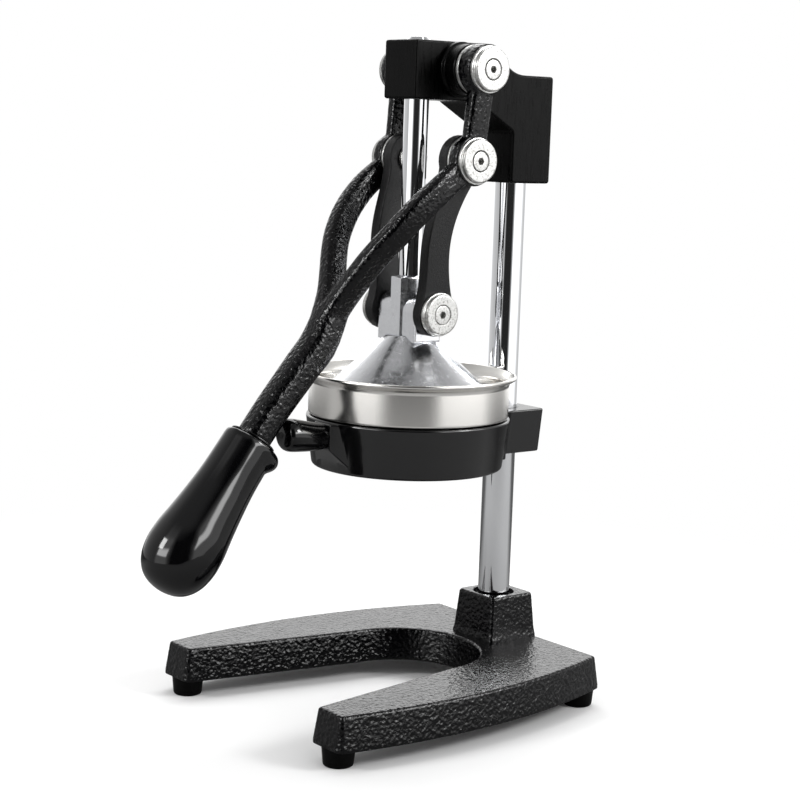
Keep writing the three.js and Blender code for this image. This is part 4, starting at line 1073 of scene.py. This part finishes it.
settle(lugs, at(-LUG_REACH, *CROSSHEAD), SIDEWAYS)
combined(cone_body, [cone_block, lugs], "UNION")
finish(cone_body, polished_aluminium, "plunger", "polished_aluminium", "press_cone", sharp=32)

# %% [markdown]
# ## Juice cup and strainer
# The cup is spun from one sheet of steel: a straight wall that flares into a rolled rim, a lower
# well that drops into the holder, and a spout. The strainer is a cone pierced with small holes.
# Both are turned from a closed outline, which gives the sheet an inside and an outside at once. The
# hole cutters are joined before they cut, because one cut is much quicker than one for each hole.

# %% Juice cup
CUP_SETBACK = 1.6
SHEET = 0.9
WALL_RADIUS = 58.6
WELL_RADIUS = 55.3
WELL_DEPTH = 15
FUNNEL_DROP = 7
SPOUT_RADIUS = 12
cup_low, cup_high = corners("juice_cup")
holder_low, holder_high = corners("cup_holder")
rim = (cup_high.x - cup_low.x) / 2
rim_top = cup_high.z
ring_top = holder_high.z - 0.3
well_floor = ring_top - WELL_DEPTH
spout_end = cup_low.z
cup_body = turned("cup_body", rounded_loop([
    (SPOUT_RADIUS, spout_end, 0.2), (SPOUT_RADIUS, well_floor - FUNNEL_DROP, 4),
    (WELL_RADIUS, well_floor, 3), (WELL_RADIUS, ring_top + 0.4, 0.8),
    (WALL_RADIUS, ring_top + 0.5, 1.6), (WALL_RADIUS, rim_top - 4.4, 2),
    (rim - 1.1, rim_top - 2.7, 0.5), (rim - 0.05, rim_top - 1.9, 0.8), (rim - 0.1, rim_top - 0.3, 0.8),
    (rim - 1.5, rim_top, 0.8), (rim - 2.4, rim_top - 1.2, 0.8), (WALL_RADIUS - SHEET, rim_top - 4.6, 2),
    (WALL_RADIUS - SHEET, ring_top + 1.4, 1.6), (WELL_RADIUS - SHEET, ring_top + 1.3, 0.8),
    (WELL_RADIUS - SHEET, well_floor + SHEET, 2.2),
    (SPOUT_RADIUS - SHEET, well_floor - FUNNEL_DROP + SHEET, 4),
    (SPOUT_RADIUS - SHEET, spout_end, 0.2)], 1, 5), 160, closed=True)
settle(cup_body, at(0, CUP_SETBACK, 0))
finish(cup_body, spun_steel, "stand", "stainless", "juice_cup", sharp=50)

# %% Strainer
HOLE_ROWS = (12, 18, 24, 30)
HOLE_RADIUS = 1.6
FIRST_ROW = 14
ROW_SPACING = 8
strainer_low, strainer_high = corners("strainer_cone")
flange = (strainer_high.x - strainer_low.x) / 2
flange_low, tip = strainer_low.z, strainer_high.z
sieve = turned("sieve", rounded_loop([
    (flange, flange_low), (flange, flange_low + 1), (46, flange_low + 1, 2), (8, tip - 1.5, 4),
    (2, tip - 0.1, 1), (2, tip - 2, 1), (7, tip - 3, 3), (45, flange_low, 2)], 0.3), closed=True)
holes = []
for row, count in enumerate(HOLE_ROWS):
    row_radius = FIRST_ROW + ROW_SPACING * row
    for step in range(count):
        angle = 2 * math.pi * (step + row / 2) / count
        bpy.ops.mesh.primitive_cylinder_add(vertices=12, radius=HOLE_RADIUS * MM, depth=50 * MM)
        centre = Vector((row_radius * math.cos(angle), row_radius * math.sin(angle), tip - 15))
        holes.append(settle(added("hole"), centre * MM))
combined(sieve, [joined("holes", holes)], "DIFFERENCE")
settle(sieve, at(0, CUP_SETBACK, 0))
finish(sieve, spun_steel, "stand", "stainless", "strainer_cone")

# %% [markdown]
# ## Cup holder and knob
# The holder is a cast ring that the cup drops into, with a clamp block round the column at its
# back and a flared boss at its front for a short knob. The clamp block is drawn from above, with
# hollow corners where it runs into the ring, and narrows downward so that it left its mould. The
# knob is turned from its profile, and its vertices are then lifted towards its tip.

# %% Holder ring
HOLDER_RADIUS = 59.9
HOLDER_FOOT = 56.5
HOLDER_BORE = 55.75
HOLDER_LEDGE = 46.7
LEDGE_THICKNESS = 5
LEDGE_SLOPE_TOP = 10
ring_bottom = holder_low.z
holder_body = turned("holder_body", rounded_loop([
    (HOLDER_LEDGE, ring_bottom, 0.5), (HOLDER_FOOT - 0.6, ring_bottom, 1.8),
    (HOLDER_RADIUS, ring_top, 1.3), (HOLDER_BORE, ring_top, 0.7),
    (HOLDER_BORE, ring_bottom + LEDGE_SLOPE_TOP, 1),
    (HOLDER_LEDGE, ring_bottom + LEDGE_THICKNESS, 0.5)], 1, 5), 160, closed=True)
settle(holder_body, at(0, CUP_SETBACK, 0))

# %% Clamp block
CLAMP_HALF = 18.2
CLAMP_DEPTH = 26.6
CLAMP_DRAFT = 2.1
CLAMP_ROOT = 61.4
CLAMP_HOLLOW = 7
NECK_HALF = 31
NECK_BACK = 51.8
NECK_RADIUS = 55.2
TAPER_START = 58
TAPER_RUN = 8
clamp_back = holder_high.y - ROD_SETBACK
clamp_top = holder_high.z
neck_angle = math.asin(NECK_HALF / NECK_RADIUS)
neck_arc = [(NECK_RADIUS * math.sin(angle), CUP_SETBACK + NECK_RADIUS * math.cos(angle), 0)
            for angle in [neck_angle * step / 4 for step in range(-4, 5)]]
clamp = plate("clamp", rounded_loop([
    *neck_arc, (NECK_HALF, NECK_BACK, 0), (CLAMP_HALF, CLAMP_ROOT, CLAMP_HOLLOW),
    (CLAMP_HALF, clamp_back), (-CLAMP_HALF, clamp_back),
    (-CLAMP_HALF, CLAMP_ROOT, CLAMP_HOLLOW), (-NECK_HALF, NECK_BACK, 0)], 1.8), CLAMP_DEPTH, 1.1)
for vertex in clamp.data.vertices:
    share = 1 - vertex.co.z / MM / CLAMP_DEPTH
    behind = min(max(vertex.co.y / MM - TAPER_START, 0) / TAPER_RUN, 1)
    vertex.co.x *= 1 - CLAMP_DRAFT / CLAMP_HALF * share * behind
    vertex.co.y -= CLAMP_DRAFT / 2 * MM * share * behind
settle(clamp, at(0, 0, clamp_top - CLAMP_DEPTH))
print("clamp back", round(clamp_back, 2))

# %% Flared boss
BOSS_LOW = Vector((-17, -60.7, 145.4))
BOSS_HIGH = Vector((17, -51.6, 171.3))
BOSS_FACE_SHARES = (0.43, 1, 0.565)
bpy.ops.mesh.primitive_cube_add(size=1)
flared_boss = added("flared_boss")
open_piece(flared_boss, "SELECT")
bpy.ops.transform.resize(value=(BOSS_HIGH - BOSS_LOW) * MM)
close_piece()
settle(flared_boss, at(*((BOSS_LOW + BOSS_HIGH) / 2)))
open_piece(flared_boss)
pick_faces(flared_boss, lambda middle, normal: normal.y < -0.9)
bpy.ops.transform.resize(value=BOSS_FACE_SHARES, center_override=at(0, BOSS_LOW.y, BOSS_HIGH.z))
bpy.ops.mesh.select_all(action="SELECT")
bpy.ops.mesh.bevel(offset=0.9 * MM, segments=3)
close_piece()
face_outward(flared_boss)
print("flared boss", [round(side / MM, 1) for side in flared_boss.dimensions])

# %% One casting, bored for the column and the cup
combined(holder_body, [clamp, flared_boss], "UNION")
cup_space = turned("cup_space", [
    (HOLDER_BORE, ring_bottom + LEDGE_SLOPE_TOP), (HOLDER_BORE, ring_top + 5)], 160)
settle(cup_space, at(0, CUP_SETBACK, 0))
clamp_bore = turned("clamp_bore", [
    (COLUMN_BORE, ring_bottom - 5), (COLUMN_BORE, clamp_top - 0.8), (COLUMN_MOUTH, clamp_top + 0.1),
    (COLUMN_MOUTH, clamp_top + 3)], 64)
settle(clamp_bore, at(0, column_y, 0))
combined(holder_body, [cup_space, clamp_bore], "DIFFERENCE")
finish(holder_body, gloss_enamel, "stand", "gloss_black", "cup_holder", sharp=32)

# %% Knob
KNOB_RISE = 2.4
KNOB_TIP = 0.3
knob_low, knob_high = corners("holder_handle")
knob_length = knob_high.y - knob_low.y
knob_profile = [
    (7.2, 0), (7.55, 0.3), (7.7, 1.2), (8.3, 7), (8.9, 13), (9.3, 18), (9.4, 21), (9.1, 23.6), (8.0, 25.6),
    (5.8, 26.8), (2.5, 27.2), (0.6, 27.2)]
knob_curve = [between(knob_profile, step / 44) for step in range(45)]
knob = turned("knob", [(max(radius, KNOB_TIP), height) for radius, height in knob_curve], 72)
for vertex in knob.data.vertices:
    share = min(vertex.co.z / MM / knob_length, 1)
    vertex.co.y += KNOB_RISE * math.sin(share * math.pi / 2) ** 2 * MM
stud_height = middle("handle_stud")[1]
settle(knob, at(0, knob_high.y - ROD_SETBACK, stud_height), (math.radians(90), 0, 0))
finish(knob, moulded_plastic, "stand", "black_plastic", "holder_handle")

# %% [markdown]
# ## Light and floor
# Black enamel and bright metal show mostly what is around them, so the studio is drawn as carefully
# as the press. It has a white table, a wide white screen on each side of the camera with the dark
# room between them, and grey sides. A narrow strip light over the bright screens gives the enamel
# its sharp highlights. Only reflections see the screens and the strip, and they see the table with
# painted shade, darker than it is. The camera sees plain white.

# %% Table
TABLE_RADIUS = 1.3
bpy.ops.mesh.primitive_circle_add(vertices=96, radius=TABLE_RADIUS, fill_type="NGON")
floor = added("studio_floor")
table_white, place = new_finish("white_table", 0xFFFFFF, 0.9, Specular_IOR_Level=0)
print("table", 2 * TABLE_RADIUS, "metres wide")

# %% What the camera and reflections see of the table
away = add_node(table_white, "ShaderNodeVectorMath", "Value", {0: place}, operation="LENGTH")
fade = add_node(table_white, "ShaderNodeMapRange", "Result", {
    "Value": away, "From Min": 0.3, "From Max": 0.6}, interpolation_type="SMOOTHSTEP")
seen = add_node(table_white, "ShaderNodeLightPath", "Is Camera Ray", {})
beyond = add_node(table_white, "ShaderNodeMath", "Value", {0: fade, 1: seen}, operation="MULTIPLY")
mirror = seen.node.outputs["Is Glossy Ray"]
# Painted shade: reflections see the table's colour darkened to 0.3 near the press and 0.38 further out, and
# to a quarter of that behind the press, in place of shade on the table.
dusk = add_node(table_white, "ShaderNodeMapRange", "Result", {
    "Value": away, "From Min": 0.12, "From Max": 0.45, "To Min": 0.3, "To Max": 0.38})
forward = add_node(table_white, "ShaderNodeVectorMath", "Value", {
    0: place, 1: Vector(CAMERA_PLACE[:2] + (0,)).normalized()}, operation="DOT_PRODUCT")
rear = add_node(table_white, "ShaderNodeMapRange", "Result", {
    "Value": forward, "From Min": -0.35, "From Max": -0.1, "To Min": 0.25, "To Max": 1.0})
shade = add_node(table_white, "ShaderNodeMath", "Value", {0: dusk, 1: rear}, operation="MULTIPLY")
painted_shade_colour = add_node(table_white, "ShaderNodeMix", 2, {
    0: mirror, 6: linear(0xFFFFFF), 7: shade}, data_type="RGBA")
feed(table_white, "Base Color", painted_shade_colour)
shader = table_white.node_tree.nodes["Principled BSDF"]
plain_white = add_node(table_white, "ShaderNodeEmission", "Emission", {})
surface = add_node(table_white, "ShaderNodeMixShader", "Shader", {
    0: beyond, 1: shader.outputs["BSDF"], 2: plain_white})
sheet = table_white.node_tree.nodes["Material Output"]
table_white.node_tree.links.new(surface, sheet.inputs["Surface"])
floor.data.materials.append(table_white)
print("table nodes", len(table_white.node_tree.nodes))


# %% Lamps
LAMP_AIM = (0, 0, 200)


def lamp(name, place, side, radiance):
    """A square lamp aimed at the press; its power follows from its size and how bright it looks."""
    data = bpy.data.lights.new(name, "AREA")
    data.shape = "RECTANGLE"
    data.size = side
    data.size_y = side
    data.energy = radiance * math.pi * side * side
    light = bpy.data.objects.new(name, data)
    bpy.context.scene.collection.objects.link(light)
    light.location = at(*place)
    light.rotation_euler = (at(*LAMP_AIM) - at(*place)).to_track_quat("-Z", "Y").to_euler()
    light.visible_camera = False
    print(name, round(data.energy, 1), "watts")


lamp("top_lamp", (-450, 480, 1450), 1.0, 3.0)
lamp("left_lamp", (-250, -1300, 850), 0.35, 16.0)
lamp("right_lamp", (1150, 750, 950), 0.4, 20.0)

# %% Screens round the press
# An angle from the camera's side, in degrees, and how bright the room is in that direction.
BEHIND = 180
SCREENS = (
    (-180, 1.18), (-150, 1.18), (-136, 0.7), (-118, 0.62), (-80, 0.5), (-74, 0.5), (-66, 1.5), (-36, 1.5),
    (-28, 0.5), (-20, 0.02), (24, 0.02), (32, 0.4), (40, 1.5), (92, 1.5), (104, 0.9), (120, 0.6), (136, 0.6),
    (150, 1.18), (180, 1.18))
ROOM_BRIGHTEST = 1.5

world = bpy.data.worlds.new("studio")
bpy.context.scene.world = world
world.use_nodes = True
direction = add_node(world, "ShaderNodeTexCoord", "Generated", {})
towards_camera = math.atan2(CAMERA_PLACE[1], CAMERA_PLACE[0])
turned_round = add_node(world, "ShaderNodeVectorRotate", "Vector", {
    "Vector": direction, "Angle": -towards_camera}, rotation_type="Z_AXIS")
parts = add_node(world, "ShaderNodeSeparateXYZ", "X", {"Vector": turned_round}).node
side_angle = add_node(world, "ShaderNodeMath", "Value", {
    0: parts.outputs["Y"], 1: parts.outputs["X"]}, operation="ARCTAN2")
share = add_node(world, "ShaderNodeMapRange", "Result", {
    "Value": side_angle, "From Min": -math.pi, "From Max": math.pi})
screens = add_node(world, "ShaderNodeValToRGB", "Color", {"Fac": share})
stops = screens.node.color_ramp.elements
for index, (angle, level) in enumerate(SCREENS):
    spot = (angle + BEHIND) / (2 * BEHIND)
    stop = stops[index] if index < 2 else stops.new(spot)
    stop.position = spot
    grey = level / ROOM_BRIGHTEST
    stop.color = (grey, grey, grey, 1)
screen_level = add_node(world, "ShaderNodeMath", "Value", {
    0: screens, 1: ROOM_BRIGHTEST}, operation="MULTIPLY")
print("screens", len(SCREENS))

# %% Strip light and ceiling
STRIP_LEVEL = 8.0
CEILING_LEVEL = 0.35
rising = add_node(world, "ShaderNodeMapRange", "Result", {
    "Value": parts.outputs["Z"], "From Min": 0.2, "From Max": 0.28}, interpolation_type="SMOOTHSTEP")
falling = add_node(world, "ShaderNodeMapRange", "Result", {
    "Value": parts.outputs["Z"], "From Min": 0.38, "From Max": 0.48, "To Min": 1.0, "To Max": 0.0},
    interpolation_type="SMOOTHSTEP")
band = add_node(world, "ShaderNodeMath", "Value", {0: rising, 1: falling}, operation="MULTIPLY")
over_screens = add_node(world, "ShaderNodeMapRange", "Result", {
    "Value": screen_level, "From Min": 1.1, "From Max": 1.5, "To Min": 0.0, "To Max": STRIP_LEVEL})
strip = add_node(world, "ShaderNodeMath", "Value", {0: band, 1: over_screens}, operation="MULTIPLY")
screen_level = add_node(world, "ShaderNodeMath", "Value", {0: screen_level, 1: strip}, operation="ADD")
ceiling = add_node(world, "ShaderNodeMapRange", "Result", {
    "Value": parts.outputs["Z"], "From Min": 0.6, "From Max": 0.85}, interpolation_type="SMOOTHSTEP")
room_level = add_node(world, "ShaderNodeMix", 0, {0: ceiling, 2: screen_level, 3: CEILING_LEVEL})
print("strip light at", STRIP_LEVEL, "over a ceiling at", CEILING_LEVEL)

# %% What each kind of ray sees of the room
DIFFUSE_LEVEL = 0.6
rays = add_node(world, "ShaderNodeLightPath", "Is Glossy Ray", {}).node
mirrored = add_node(world, "ShaderNodeMath", "Value", {
    0: rays.outputs["Is Glossy Ray"], 1: rays.outputs["Is Transmission Ray"]}, operation="MAXIMUM")
lit_level = add_node(world, "ShaderNodeMix", 0, {0: mirrored, 2: DIFFUSE_LEVEL, 3: room_level})
strength = add_node(world, "ShaderNodeMix", 0, {0: rays.outputs["Is Camera Ray"], 2: lit_level, 3: 1.0})
background = world.node_tree.nodes["Background"]
background.inputs["Color"].default_value = (1, 1, 1, 1)
world.node_tree.links.new(strength, background.inputs["Strength"])
print("room nodes", len(world.node_tree.nodes))
